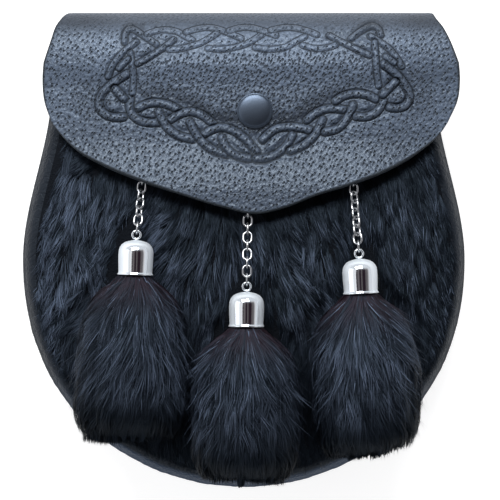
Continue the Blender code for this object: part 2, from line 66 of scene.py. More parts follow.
# %% [markdown]
# ## Sums that add nodes
# The strength of a pattern is worked out by Math nodes. Wiring each one by hand takes many
# lines, so one small class stands for a socket that gives a number: `1 - spots * 0.5` on
# such a value adds the Math nodes by itself.
# %% Values


class Value:
    """A socket that gives a number or a colour. Sums on it add Math nodes."""

    def __init__(self, sheet, socket):
        self.sheet, self.socket = sheet, socket

    def maths(self, operation, *others):
        return self.sheet.maths(operation, self, *others)

    def __add__(self, other):
        return self.maths("ADD", other)

    def __sub__(self, other):
        return self.maths("SUBTRACT", other)

    def __rsub__(self, other):
        return self.sheet.maths("SUBTRACT", other, self)

    def __mul__(self, other):
        return self.maths("MULTIPLY", other)

    def __truediv__(self, other):
        return self.maths("DIVIDE", other)

    def __abs__(self):
        return self.maths("ABSOLUTE")

    __radd__, __rmul__ = __add__, __mul__

    def step(self, low, high):
        """0 below low, 1 above high, and soft between. With low above high it falls."""
        settings = {"interpolation_type": "SMOOTHSTEP"}
        inputs = {"Value": self, "From Min": low, "From Max": high}
        return self.sheet.node("ShaderNodeMapRange", settings, inputs)


print("sums that add nodes: + - * / and abs")

# %% [markdown]
# ## A sheet of nodes
# A finish is a sheet of nodes, and so is the sky. Every node comes from one method, which
# takes the node's type, its settings and what goes into its sockets. The short methods
# after it are the few that this sporran's finishes use again and again.
# %% Node sheets


class Sheet:
    """The nodes of one finish, or of the sky."""

    def __init__(self, owner):
        owner.use_nodes = True
        self.owner, self.tree = owner, owner.node_tree

    def node(self, kind, settings=None, inputs=None, output=0):
        made = self.tree.nodes.new(kind)
        for key, setting in (settings or {}).items():
            setattr(made, key, setting)
        for key, value in (inputs or {}).items():
            self.join(value, made.inputs[key])
        return Value(self, made.outputs[output])

    def join(self, value, socket):
        if isinstance(value, Value):
            self.tree.links.new(value.socket, socket)
        elif isinstance(value, tuple) and len(value) == 3 and socket.type == "RGBA":
            socket.default_value = (*value, 1.0)
        else:
            socket.default_value = value

    def maths(self, operation, *numbers):
        return self.node("ShaderNodeMath", {"operation": operation}, dict(enumerate(numbers)))

    def shader(self, **values):
        """Sets the main shader's sockets. An underscore in a name stands for a space."""
        principled = self.tree.nodes["Principled BSDF"]
        for name, value in values.items():
            self.join(value, principled.inputs[name.replace("_", " ")])
        return self.owner

    def mix(self, part, first, second):
        """One colour turning into another."""
        inputs = {0: part, 6: first, 7: second}
        return self.node("ShaderNodeMix", {"data_type": "RGBA"}, inputs, 2)

    def attribute(self, name):
        return self.node("ShaderNodeAttribute", {"attribute_name": name}, None, "Fac")

    def noise(self, place, scale, detail=2.0, **inputs):
        inputs = {"Vector": place, "Scale": scale, "Detail": detail, **inputs}
        return self.node("ShaderNodeTexNoise", None, inputs)

    def cells(self, place, scale, output=0, **inputs):
        """The pattern of cells on a flat surface."""
        inputs = {"Vector": place, "Scale": scale, **inputs}
        return self.node("ShaderNodeTexVoronoi", {"voronoi_dimensions": "2D"}, inputs, output)

    def part_of(self, place, axis):
        return self.node("ShaderNodeSeparateXYZ", None, {0: place}, axis)

    def scaled(self, place, scale):
        inputs = {0: place, "Scale": scale}
        return self.node("ShaderNodeVectorMath", {"operation": "SCALE"}, inputs)

    def millimetres(self):
        """The place on the piece, in millimetres, which stays with it when it moves."""
        return self.scaled(self.node("ShaderNodeTexCoord", output="Object"), 1000)

    def turned_away(self):
        """0 where the surface faces the eye, 1 where it is seen from the side."""
        return self.node("ShaderNodeLayerWeight", None, {"Blend": 0.5}, "Facing")

    def bump(self, height):
        """A relief whose height is in millimetres."""
        return self.node("ShaderNodeBump", None, {"Height": height, "Distance": 0.001})


def finish(name):
    return Sheet(bpy.data.materials.new(name))


print("node sheets are ready")

# %% [markdown]
# ## Light
# A catalogue picture is taken in a white tent. The sky is the tent: white all round, with
# a dark patch overhead where the photographer stands, which is what draws the dark bands
# on the polished caps. One large lamp beyond the top of the sporran brings out the relief
# of the flap. Small lamps alone would give hard shadows.
# %% The tent
world = bpy.data.worlds.new("tent")
bpy.context.scene.world = world
sky = Sheet(world)
towards = sky.node("ShaderNodeTexCoord", output="Generated")
across, along, upward = (sky.part_of(towards, axis) for axis in "XYZ")
lean = across / upward.maths("MAXIMUM", 0.05)
overhead = upward.step(0.2, 0.35) * along.step(0.66, 0.26) * along.step(-0.75, -0.50)
patch = overhead * lean.step(-1.15, -0.95) * lean.step(2.10, 1.80)
banner = sky.node("ShaderNodeCombineXYZ", None, {0: lean, 1: 0.0, 2: 0.3})
stripes = sky.noise(banner, 4.6, 1.0).step(0.40, 0.60)
dark = sky.mix(stripes, (0.075, 0.045, 0.065), (0.52, 0.46, 0.47))
dark = sky.mix(lean.step(0.7, 1.9) * 0.6, dark, (1.3, 1.3, 1.3))
walls = upward.step(0.72, 0.45).maths("MAXIMUM", along.step(0.30, 0.45))
background = sky.tree.nodes["Background"]
sky.join(sky.mix(patch, (0.93, 0.96, 1.0), dark), background.inputs["Color"])
sky.join(0.32 + walls * 0.52, background.inputs["Strength"])


def lamp(name, place, target, width, height, watts):
    data = bpy.data.lights.new(name, "AREA")
    data.shape, data.size, data.size_y, data.energy = "RECTANGLE", width, height, watts
    made = bpy.data.objects.new(name, data)
    made.location = place
    made.rotation_euler = (Vector(target) - Vector(place)).to_track_quat("-Z", "Y").to_euler()
    bpy.context.collection.objects.link(made)
    print(name, watts, "W")


lamp("top_lamp", (-0.15, 0.85, 1.05), (0, 0, 0.03), 1.0, 0.5, 24.0)
lamp("side_lamp", (-1.1, 0.1, 0.8), (0, 0, 0.03), 1.0, 1.5, 4.0)

# %% [markdown]
# ## Floor
# The sporran lies on white paper. Paper that only reflects would turn grey under such soft
# light, so this one glows a little by itself, as paper on a light table does, and keeps
# just a faint shadow. A white world without a floor would have no shadow at all.
# %% Floor
bpy.ops.object.select_all(action="DESELECT")
bpy.ops.mesh.primitive_plane_add(size=8.0)
floor = bpy.context.active_object
floor.name = "floor"
paper = finish("white paper")
paper.shader(
    Base_Color=(0.4, 0.4, 0.4),
    Roughness=0.9,
    Emission_Color=(1.0, 1.0, 1.0),
    Emission_Strength=0.84,
)
floor.data.materials.append(paper.owner)
print("floor:", floor.dimensions.x, "m wide")

# %% [markdown]
# ## Measures shared by all pieces
# Sizes are in millimetres, as on a pattern. `smooth` is a soft step, and `soft` draws a
# soft curve through a table of measures. Modelling each outline by eye would be another
# way, but a new piece has to lie exactly on the solid under it.
# %% Measures
MM = 0.001
# the drawing's middle lies this much below the middle of the solids
MIDDLE_SHIFT = 0.9


def smooth(t):
    t = np.clip(t, 0.0, 1.0)
    return t * t * (3.0 - 2.0 * t)


def soft(x, places, values):
    """The value at x on a soft curve through the values at these rising places."""
    places, values = np.asarray(places, float), np.asarray(values, float)
    slopes = np.gradient(values, places)
    i = np.clip(np.searchsorted(places, x) - 1, 0, len(places) - 2)
    span = places[i + 1] - places[i]
    t = np.clip((x - places[i]) / span, 0.0, 1.0)
    ends = values[i] * (1 + 2 * t) * (1 - t) ** 2 + values[i + 1] * t * t * (3 - 2 * t)
    bends = slopes[i] * t * (1 - t) ** 2 - slopes[i + 1] * t * t * (1 - t)
    return ends + bends * span


def stack(*axes):
    """Places from their separate coordinates."""
    return np.stack(np.broadcast_arrays(*axes), axis=-1)


print("a soft step, a quarter of the way up:", float(smooth(0.25)))

# %% [markdown]
# ## From a flat grid to a piece
# Leather and hide start as flat sheets, so most pieces here start as a flat grid. A formula
# says where each point goes, modifiers give the sheet its thickness, and `done` gives the
# finished piece its finish and hides the solid that it stands for. A grid pulled into shape
# by hand would not lie on its solid.
# %% Sheets and modifiers


def select_only(piece, *others):
    """Selects these pieces and nothing else. The first is the active one."""
    bpy.ops.object.select_all(action="DESELECT")
    for other in (piece, *others):
        other.select_set(True)
    bpy.context.view_layer.objects.active = piece


def set_points(piece, points):
    """Moves a piece's points to these places, in millimetres."""
    places = (points + (0.0, MIDDLE_SHIFT, 0.0)) * MM
    piece.data.vertices.foreach_set("co", places.astype(np.float32).ravel())
    piece.data.update()


def add_sheet(name, columns, rows):
    """A flat grid, and for each of its points the part across and the part down."""
    bpy.ops.object.select_all(action="DESELECT")
    bpy.ops.mesh.primitive_grid_add(x_subdivisions=columns, y_subdivisions=rows, size=1.0)
    piece = bpy.context.active_object
    piece.name = name
    flat = np.empty(len(piece.data.vertices) * 3, np.float32)
    piece.data.vertices.foreach_get("co", flat)
    flat = flat.reshape(-1, 3).astype(float)
    across, down = (flat[:, 0] + 0.5) * columns, (0.5 - flat[:, 1]) * rows
    return piece, np.rint(across) / columns, np.rint(down) / rows


def apply(piece, kind, **settings):
    """Adds a modifier with these settings and applies it."""
    select_only(piece)
    modifier = piece.modifiers.new(kind.lower(), kind)
    for key, setting in settings.items():
        setattr(modifier, key, setting)
    bpy.ops.object.modifier_apply(modifier=modifier.name)


def triangles(piece):
    return sum(len(face.vertices) - 2 for face in piece.data.polygons)


def done(piece, look, slot, *replaced):
    """Gives a piece its finish, joins it to the body, and hides the solids it stands for."""
    piece.data.materials.clear()
    piece.data.materials.append(look)
    piece.data.shade_smooth()
    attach(piece, "root")
    if replaced:
        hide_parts(*replaced)
    print(f"{piece.name}: {triangles(piece)} triangles")
    return piece


print("a piece is set in place from millimetres, times", MM)

# %% [markdown]
# ## The body's outline
# The pouch is round below and drawn in towards the mouth. Every panel follows this one
# outline, some way in from it. A flat grid is bent to fill it, which gives four-sided
# faces all over. A filled polygon would be quicker, but it can't be domed.
# %% Outline
MOUTH_Y, WIDE_Y, BOTTOM_Y = 77.4, -4.5, -102.5
HALF_WIDTH, NARROWED = 95.2, 12.5
LOWER_HEIGHT, ROUNDNESS = WIDE_Y - BOTTOM_Y, 2.2
# the part of the outline that is a side of the grid, and not its bottom
CORNER = 0.34


def half_width(y):
    upper = HALF_WIDTH - NARROWED * smooth((y - WIDE_Y) / 75.0)
    below = np.clip((WIDE_Y - y) / LOWER_HEIGHT, 0.0, 1.0)
    return np.where(y >= WIDE_Y, upper, HALF_WIDTH * np.sqrt(1.0 - below**ROUNDNESS))


side_y = np.linspace(MOUTH_Y, WIDE_Y, 60)
angles = np.linspace(0.0, math.pi, 481)[1:-1]
bottom_y = WIDE_Y - LOWER_HEIGHT * np.sin(angles) ** (2.0 / ROUNDNESS)
bottom = stack(-HALF_WIDTH * np.cos(angles), bottom_y)
left_side = stack(-half_width(side_y), side_y)
outline = np.concatenate([left_side, bottom, left_side[::-1] * (-1.0, 1.0)])
steps = np.hypot(*np.diff(outline, axis=0).T)
along_outline = np.concatenate([[0.0], np.cumsum(steps)]) / steps.sum()
print("outline:", round(float(steps.sum())), "mm round")


def rim(t, inset):
    """Places at part t of the outline's length, moved in towards the middle."""

    def on_outline(part):
        return stack(*(np.interp(part, along_outline, outline[:, axis]) for axis in (0, 1)))

    across = on_outline(np.minimum(t + 0.004, 1.0)) - on_outline(np.maximum(t - 0.004, 0.0))
    across /= np.linalg.norm(across, axis=-1, keepdims=True)
    inward = stack(-across[..., 1], across[..., 0])
    return on_outline(t) + inward * np.asarray(inset)[..., None]


def body_place(u, v, inset, start=0.0, dip=0.0):
    """A place on the body: u from left to right, v from the top edge to the bottom one."""
    u, v = u[:, None], v[:, None]
    corner = CORNER - start

    def left(s):
        return rim(start + corner * s[..., 0], inset)

    def right(s):
        return rim(1.0 - start - corner * s[..., 0], inset)

    zero, one = np.zeros_like(u), np.ones_like(u)
    bottom_edge = rim(CORNER + (1.0 - 2.0 * CORNER) * u[:, 0], inset)
    top_edge = left(zero) * (1 - u) + right(zero) * u
    top_edge[:, 1] -= dip * (1.0 - (2.0 * u[:, 0] - 1.0) ** 2)
    corners = (left(zero) * (1 - u) + right(zero) * u) * (1 - v)
    corners += (left(one) * (1 - u) + right(one) * u) * v
    return left(v) * (1 - u) + right(v) * u + top_edge * (1 - v) + bottom_edge * v - corners


print("mouth:", round(float(2 * half_width(MOUTH_Y))), "mm wide")

# %% [markdown]
# ## How high the panels lie
# The back is bowed, and the front panel is domed by what the pouch holds. The fur has to
# know both, and how far in from the outline it grows. Rays cast on the solids would tell
# too, but a formula is smooth.
# %% Heights
BOW, PANEL_Z, PANEL_INSET, DOME = 4.9, 33.0, 8.3, 9.5


def back_z(y):
    return BOW * smooth((y + 36.0) / 38.0)


def panel_z(x, y):
    upper = DOME - 5.5 * smooth(y / MOUTH_Y)
    lower = DOME * (1.0 - np.clip(y / BOTTOM_Y, 0.0, 1.0) ** 2.5)
    reach = np.maximum(half_width(y) - PANEL_INSET, 1.0)
    rise = np.where(y > 0.0, upper, lower)
    return PANEL_Z + rise * np.clip(1.0 - np.abs(x / reach) ** 2.6, 0.0, 1.0)


def off_places(x, y, places):
    """How far each point is from the nearest of some places."""
    off = np.empty(len(x))
    for part in np.array_split(np.arange(len(x)), len(x) // 3000 + 1):
        gaps = np.hypot(x[part, None] - places[:, 0], y[part, None] - places[:, 1])
        off[part] = gaps.min(axis=1)
    return off


def inset_of(x, y):
    """How far in from the outline a place is, below nought outside it."""
    off = off_places(x, y, outline[::2])
    return np.where(np.abs(x) < half_width(y), off, -off)


print("front panel's middle:", float(panel_z(0.0, 0.0)), "mm high")

# %% [markdown]
# ## Leather for the pouch
# Smooth black leather is never quite smooth: it has a fine grain, creases where it bends
# and a shine that is uneven where hands rub it. Noise does all three. Low on the body,
# where the leather turns away, a bluish sheen is painted into its colour. A photo of
# leather would be another way, but a pattern made of nodes has no seams and no size limit.
# %% Black leather
black = finish("black leather")
place = black.millimetres()
grain = black.node("ShaderNodeTexVoronoi", None, {"Vector": place, "Scale": 0.9})
creases = abs(black.noise(place, 0.16, 3.0, Roughness=0.6) - 0.5).step(0.05, 0.0)
rub, turned_away = black.noise(place, 0.05, 3.0), black.turned_away()
painted_sheen_below = black.part_of(place, "Y").step(-45, -85)
hide = black.mix(rub, (0.004, 0.005, 0.008), (0.010, 0.013, 0.019))
black_leather = black.shader(
    # the base colour turns bluish where the leather turns away low down: a painted sheen
    Base_Color=black.mix(turned_away.step(0.1, 0.5) * painted_sheen_below, hide, (0.008, 0.022, 0.050)),
    Roughness=0.38 + rub * 0.14 + creases * 0.1 + turned_away.step(0.55, 0.90) * 0.35,
    Specular_IOR_Level=0.2,
    Specular_Tint=(0.72, 0.86, 1.0, 1.0),
    Normal=black.bump(grain * 0.16 - creases * 0.12 + black.noise(place, 0.4) * 0.25),
)
print(black_leather.name, "has", len(black.tree.nodes), "nodes")

# %% [markdown]
# ## Back panel
# The back lies on the table and is bowed up a little behind the belt loops. It is cut
# from 2 mm leather. A flat grid is laid on the body's outline, and Solidify gives it its
# thickness, because leather has the same thickness all over.
# %% Back panel
back, u, v = add_sheet("back_leather", 60, 48)
spots = body_place(1.0 - u, v, 0.0)
set_points(back, stack(spots[:, 0], spots[:, 1], back_z(spots[:, 1])))
apply(back, "SOLIDIFY", thickness=2.0 * MM, offset=-1.0, use_even_offset=True)
apply(back, "BEVEL", width=0.6 * MM, segments=2, limit_method="ANGLE", angle_limit=1.0)
done(back, black_leather, "smooth_leather", "back_panel")

# %% [markdown]
# ## Gusset
# One soft band joins the back to the front round the sides and the bottom. It bulges, and
# it puckers where it turns. Its section comes from a short table, and small waves across
# it are the puckers. A cloth simulation would pucker it too, but leather this thick keeps
# the shape that it was blocked to.
# %% Gusset
GUSSET_INSETS = (2.8, 1.2, 1.0, 2.2, 4.8, 10.6)
GUSSET_RISES = (0.0, 0.20, 0.50, 0.79, 0.94, 1.0)
GUSSET_THICKNESS, GUSSET_FOOT, GUSSET_HEIGHT, GUSSET_LIP_Z = 1.6, 2.7, 26.0, 31.75
chords = np.hypot(np.diff(GUSSET_INSETS), np.diff(GUSSET_RISES) * GUSSET_HEIGHT)
GUSSET_PARTS = np.concatenate([[0.0], np.cumsum(chords)]) / chords.sum()


def gusset_place(t, part):
    """A place on the outer face: t round the outline, part from the foot to the lip."""
    inset, rise = soft(part, GUSSET_PARTS, GUSSET_INSETS), soft(part, GUSSET_PARTS, GUSSET_RISES)
    spots = rim(t, inset)
    foot = back_z(rim(t, np.zeros_like(t))[:, 1]) + GUSSET_FOOT
    return stack(spots[:, 0], spots[:, 1], foot + (GUSSET_LIP_Z - foot) * rise)


gusset, u, v = add_sheet("gusset_leather", 420, 22)
spots = gusset_place(u, 1.0 - v)
swell = np.sin(math.pi * v) ** 1.5
waves = 0.20 * np.sin(u * 417.0 + 2.2 * np.sin(u * 61.0)) * np.sin(u * 97.0 + 1.0)
waves += 0.22 * np.sin(u * 143.0 + 3.0 * v) + 0.10 * np.sin(u * 733.0 + 5.0 * v)
outward = spots[:, :2] / np.hypot(spots[:, 0], spots[:, 1])[:, None]
spots[:, :2] -= outward * (0.45 * waves * swell)[:, None]
set_points(gusset, spots)
apply(gusset, "SOLIDIFY", thickness=GUSSET_THICKNESS * MM, offset=-1.0)
done(gusset, black_leather, "smooth_leather", "gusset")

# %% [markdown]
# ## Flap: its shape
# The flap is one thick piece of leather: stitched behind the back, rolled over the top and
# cut to a point in front. Its face needs a very fine grid for the embossing, while its
# inner face is plain, so the two are made apart and bridged round their edges. A flat sheet
# could be bent by a modifier too, but the roll and the droop have to lie on the solid.
# %% Flap's surface
FOLD_Y, TAIL_Y, TAIL_Z, FLAP_MIDDLE_X = 78.7, 58.0, 2.6, 3.5
ROLL_DEPTH, ROLL_HEIGHT, ROLL_MIDDLE_Z = 22.0, 22.3, 24.9
ROLL_TURNS = (0.0, 28.0, 45.0, 60.0, 90.0, 180.0)
ROLL_LEFT = (-84.4, -81.2, -79.6, -77.6, -74.5, -72.0)
ROLL_RIGHT = (90.8, 86.9, 84.3, 81.9, 80.5, 78.0)
SIDE_DROPS = (0.0, 7.5, 15.8, 25.0)
SIDE_LEFT = (-84.4, -84.9, -84.2, -81.2)
SIDE_RIGHT = (90.8, 91.3, 90.3, 86.2)
# along the cut edge, from left to right
EDGE_X, EDGE_Y = zip(
    (-81.2, 53.7), (-77.3, 48.5), (-70.9, 42.3), (-59.5, 35.8), (-42.5, 28.7), (-24.5, 22.3),
    (-8.6, 17.5), (5.1, 14.8), (16.1, 17.0), (30.7, 22.6), (45.3, 27.4), (59.5, 33.0),
    (73.0, 40.6), (83.3, 49.3), (86.2, 53.7),
)
edge_steps = np.concatenate([[0.0], np.cumsum(np.hypot(np.diff(EDGE_X), np.diff(EDGE_Y)))])
edge_middle = edge_steps[EDGE_Y.index(min(EDGE_Y))]
EDGE_PARTS = np.interp(edge_steps, (0.0, edge_middle, edge_steps[-1]), (0.0, 0.5, 1.0))


def flap_edge_y(x):
    return np.interp(x, EDGE_X, EDGE_Y)


def flap_z(x, y):
    """Low at the snap, up over the fur, with drooping sides."""
    fold = 1.6 * smooth((y - 68.0) / 10.7)
    droop = 6.0 * smooth((np.abs(x - FLAP_MIDDLE_X) - 45.0) / 48.0)
    return 45.6 + fold + 6.5 * smooth((48.0 - y) / 25.0) - droop


def flap_front(u, v):
    """Where the front is, u from left to right and v from the fold to the cut edge."""

    def between_sides(part):
        drop = SIDE_DROPS[-1] * part
        left, right = soft(drop, SIDE_DROPS, SIDE_LEFT), soft(drop, SIDE_DROPS, SIDE_RIGHT)
        return stack(left * (1 - u) + right * u, FOLD_Y - drop)

    edge = stack(soft(u, EDGE_PARTS, EDGE_X), soft(u, EDGE_PARTS, EDGE_Y))
    spots = between_sides(v) + (edge - between_sides(1.0)) * v[:, None]
    return stack(spots[:, 0], spots[:, 1], flap_z(spots[:, 0], spots[:, 1]))


def flap_roll(u, turn):
    """Where the roll over the top is, from turn 0 at the front to 180 behind."""
    left, right = soft(turn, ROLL_TURNS, ROLL_LEFT), soft(turn, ROLL_TURNS, ROLL_RIGHT)
    x = left * (1 - u) + right * u
    angle = np.radians(turn)
    droop = (flap_z(FLAP_MIDDLE_X, FOLD_Y) - flap_z(x, FOLD_Y)) * (1 - smooth(turn / 90.0))
    z = ROLL_MIDDLE_Z + ROLL_HEIGHT * np.cos(angle) - droop
    return stack(x, FOLD_Y + ROLL_DEPTH * np.sin(angle), z)


def flap_place(u, down):
    """The whole flap: down is 0 to 1 on the tail, 1 to 2 round the roll, 2 to 3 in front."""
    left, right = ROLL_LEFT[-1], ROLL_RIGHT[-1]
    tail = stack(left + (right - left) * u, TAIL_Y + (FOLD_Y - TAIL_Y) * down, TAIL_Z)
    roll = flap_roll(u, np.clip(180.0 * (2.0 - down), 0.0, 180.0))
    front = flap_front(u, np.clip(down - 2.0, 0.0, 1.0))
    return np.where(down[:, None] < 1.0, tail, np.where(down[:, None] < 2.0, roll, front))


print("cut edge:", round(float(edge_steps[-1])), "mm long, its point at", min(EDGE_Y))

# %% [markdown]
# ## Flap: the lines of the interlace
# The border is a traditional plait. The middle line of each strand is written as a few
# places on the flap, and each raised island between strands as an oval. Strands of the
# lower border are pressed deep, and those near the fold are faint. Sculpting the plait by
# hand would be another way, but lines are easy to correct.
# %% Strands
# the last field says how much shade is painted round strands pressed with this tool
Tool = namedtuple("Tool", "half_width height groove_width groove_depth rubbed")
TOOLS = {
    "deep": Tool(1.48, 1.20, 0.72, 0.66, 1.0),
    "middle": Tool(1.12, 0.90, 0.66, 0.56, 0.7),
    "faint": Tool(1.08, 0.55, 0.60, 0.42, 0.1),
}
# x and y of a few places along each strand
STRANDS = {
    "deep": (
        ((-44.3, 59.3), (-40.9, 61.0), (-36.7, 61.6), (-31.3, 60.6), (-26.5, 58.1)),
        ((-30.7, 54.5), (-27.1, 56.6), (-22.7, 57.9), (-17.9, 56.6), (-12.0, 52.0)),
        ((-16.8, 48.2), (-13.3, 50.3), (-9.1, 51.2), (-4.4, 49.9), (0.6, 46.5), (5.6, 41.1)),
        ((-47.6, 63.3), (-47.8, 59.3), (-46.0, 55.8), (-43.0, 53.9), (-39.7, 53.3),
         (-35.5, 53.3)),
        ((-35.7, 57.9), (-34.2, 54.5), (-31.3, 50.5), (-27.3, 47.8), (-21.6, 46.3)),
        ((-22.5, 53.5), (-20.6, 49.5), (-17.4, 45.3), (-13.3, 42.1), (-7.0, 40.0)),
        ((-9.1, 46.8), (-7.4, 43.0), (-4.0, 40.0), (0.2, 38.6), (5.2, 38.4)),
        ((8.0, 46.1), (9.9, 48.0), (13.2, 50.4), (18.9, 51.5), (24.1, 51.0), (28.0, 50.1)),
        ((26.6, 54.3), (29.5, 56.7), (33.3, 58.6), (37.7, 59.2), (42.5, 58.6)),
        ((38.6, 62.3), (41.5, 64.2), (44.9, 65.2), (48.7, 65.4), (52.6, 64.6), (55.5, 63.2)),
        ((5.2, 38.2), (9.8, 38.6), (14.4, 40.5), (18.2, 44.0), (20.5, 48.0)),
        ((19.5, 41.5), (24.3, 43.4), (28.5, 46.5), (31.2, 50.1), (33.1, 54.5)),
        ((34.1, 49.3), (39.2, 50.7), (42.5, 53.7), (44.6, 57.2), (46.0, 60.6)),
        ((47.3, 55.8), (51.6, 55.8), (55.1, 57.2), (57.6, 59.8), (58.9, 62.1)),
        ((-48.9, 73.6), (-52.7, 71.3), (-56.4, 68.6), (-59.6, 65.4), (-60.8, 62.1),
         (-60.2, 58.9), (-57.9, 56.6), (-54.8, 55.6), (-50.6, 55.6)),
        ((58.6, 77.7), (61.5, 75.7), (65.1, 72.6), (67.8, 69.2), (69.7, 65.6), (69.6, 62.7),
         (67.6, 60.3), (64.7, 59.5), (61.3, 59.7)),
        ((-54.1, 67.5), (-52.3, 65.4), (-50.2, 63.3)),
        ((63.8, 70.4), (60.9, 67.6), (58.5, 65.1)),
    ),
    "middle": (
        ((-45.0, 87.3), (-49.0, 84.2), (-52.7, 80.4), (-55.3, 76.6), (-56.9, 72.6)),
        ((53.2, 89.8), (56.8, 87.7), (61.1, 84.3), (64.0, 80.9), (66.4, 76.8)),
        ((-50.0, 87.1), (-49.8, 90.5), (-48.5, 92.8), (-46.4, 92.8), (-43.5, 91.1),
         (-40.2, 88.8), (-36.6, 86.3)),
        ((44.9, 88.6), (47.8, 91.0), (51.2, 93.2), (54.6, 94.3), (56.8, 93.0), (57.7, 90.3)),
        ((-47.5, 82.5), (-46.7, 77.1), (-46.2, 71.2), (-46.7, 65.7)),
        ((55.2, 87.1), (55.4, 82.9), (55.7, 77.9), (56.1, 72.9), (56.8, 68.7)),
        ((-44.4, 77.9), (-40.2, 80.4), (-36.0, 83.1), (-32.6, 85.5), (-29.4, 88.2)),
        ((36.0, 90.1), (39.9, 87.9), (44.7, 85.5), (49.0, 83.2), (52.9, 81.5)),
        ((-52.3, 76.0), (-48.5, 79.8)),
        ((59.7, 81.0), (63.3, 78.4)),
    ),
    "faint": (
        ((-40.6, 90.7), (-36.8, 92.2), (-32.6, 92.6), (-28.4, 92.0), (-24.6, 89.9),
         (-21.5, 88.0)),
        ((-31.3, 84.0), (-27.1, 84.2), (-22.5, 85.3), (-18.3, 86.7), (-14.1, 89.1),
         (-10.8, 91.4)),
        ((-24.2, 91.6), (-20.0, 93.0), (-15.0, 93.7), (-10.3, 92.8), (-5.7, 90.9), (-1.1, 88.8)),
        ((-15.0, 84.4), (-9.5, 84.0), (-3.6, 84.9), (1.4, 86.5), (6.0, 89.3), (9.4, 91.8)),
        ((-6.1, 92.2), (-1.5, 93.5), (3.5, 93.5), (8.6, 92.0), (13.6, 90.1)),
        ((4.9, 84.8), (9.2, 84.1), (14.0, 84.2), (18.4, 85.3), (22.3, 87.7), (25.7, 89.6)),
        ((11.5, 92.4), (16.5, 93.5), (21.6, 93.5), (26.6, 92.2), (30.8, 90.5)),
        ((24.7, 85.8), (28.6, 84.7), (32.4, 84.4), (36.3, 85.1), (38.7, 86.0)),
    ),
}
# middle x and y, length, width and degrees
ISLANDS = {
    "deep": (
        (-50.0, 68.8, 5.0, 2.5, -60), (-55.0, 61.6, 7.6, 5.5, -50), (-40.1, 57.0, 8.0, 2.9, -12),
        (-31.9, 57.7, 2.5, 1.7, -30), (-25.8, 52.4, 6.3, 2.9, -25), (-19.1, 51.8, 3.4, 2.1, -50),
        (-11.6, 45.3, 7.1, 2.5, -30), (-1.1, 43.4, 10.5, 2.5, -38), (59.9, 72.8, 5.5, 2.9, -80),
        (65.0, 65.0, 8.4, 5.0, 52), (50.5, 60.0, 6.3, 2.5, 5), (38.3, 54.9, 5.9, 2.5, 38),
        (24.1, 46.8, 5.0, 2.1, 38), (12.7, 44.9, 10.1, 2.9, 40),
    ),
    "middle": (
        (-42.0, 84.0, 7.6, 4.2, 32), (-46.2, 89.4, 2.5, 2.1, 0), (50.5, 86.1, 6.7, 3.4, -20),
        (55.6, 91.5, 2.1, 1.7, 0),
    ),
    "faint": (
        (-33.7, 89.7, 7.1, 2.9, 0), (-26.3, 87.0, 5.0, 1.7, 10), (-7.8, 87.2, 8.4, 1.7, 3),
        (11.9, 87.4, 8.4, 1.7, 2), (31.7, 88.2, 8.4, 1.7, 2),
    ),
}
# round the plain field inside the border
FIELD = (
    (-41, 80), (-30, 83), (-10, 82.5), (20, 83), (45, 83), (53.5, 79), (54.5, 67), (48, 67.5),
    (38, 63), (30, 59), (24, 54), (12, 52.3), (5, 48), (-2, 52), (-9, 53.3), (-15, 53.3),
    (-19, 58), (-24, 60.3), (-30, 62.8), (-37, 63.8), (-42, 63.3), (-44.8, 66), (-44.5, 77),
    (-41, 80),
)
# the middles of the two bare corners outside the border
EARS = ((-62.0, 63.0), (71.0, 66.0))
print({name: len(lines) for name, lines in STRANDS.items()}, "strands")

# %% [markdown]
# ## Flap: how far from a line
# A soft curve joins the places of a strand. The relief follows from how far a point of
# the flap is from the nearest curve, so that is measured first. A curve object would draw
# the strands too, but it can't tell that distance.
# %% Lines on the flap
FAR, NEAR = 99.0, 7.0


def soft_line(knots, step=0.25):
    """Places every step along a soft curve through the knots."""
    knots = np.asarray(knots, float)
    lengths = np.concatenate([[0.0], np.cumsum(np.hypot(*np.diff(knots, axis=0).T))])
    at = np.linspace(0.0, lengths[-1], int(lengths[-1] / step) + 2)
    curve = np.interp if len(knots) == 2 else soft
    return stack(*(curve(at, lengths, axis) for axis in knots.T))


def off_line(x, y, line):
    """How far each point is from a line of places, or FAR where that isn't near."""
    off = np.full(len(x), FAR)
    low, high = line.min(axis=0) - NEAR, line.max(axis=0) + NEAR
    near = (x > low[0]) & (x < high[0]) & (y > low[1]) & (y < high[1])
    off[near] = off_places(x[near], y[near], line)
    return off


def is_inside(x, y, ring):
    """Inside a closed ring, a line to the right crosses it an odd number of times."""
    inside = np.zeros(len(x), bool)
    for (start_x, start_y), (end_x, end_y) in zip(ring, ring[1:]):
        if start_y != end_y:
            part = (y - start_y) / (end_y - start_y)
            crosses = (start_y > y) != (end_y > y)
            inside ^= crosses & (x < start_x + (end_x - start_x) * part)
    return inside


def plait_lines(x, y):
    """For each strand, the tool that it is pressed with and how far each point is off it."""
    return [
        (TOOLS[name], off_line(x, y, soft_line(knots)))
        for name, lines in STRANDS.items()
        for knots in lines
    ]


def islands(x, y):
    """For each island, its tool and where it is: 1 on it, 0 off it."""
    for name, rows in ISLANDS.items():
        for middle_x, middle_y, length, width, degrees in rows:
            turned = math.radians(degrees)
            dx, dy = x - middle_x, y - middle_y
            along = (dx * math.cos(turned) + dy * math.sin(turned)) / (length / 2)
            aside = (dy * math.cos(turned) - dx * math.sin(turned)) / (width / 2)
            off = (np.sqrt(along * along + aside * aside) - 1.0) * width / 2
            yield TOOLS[name], smooth(0.5 - off)


print("the first strand is drawn with", len(soft_line(STRANDS["deep"][0])), "places")
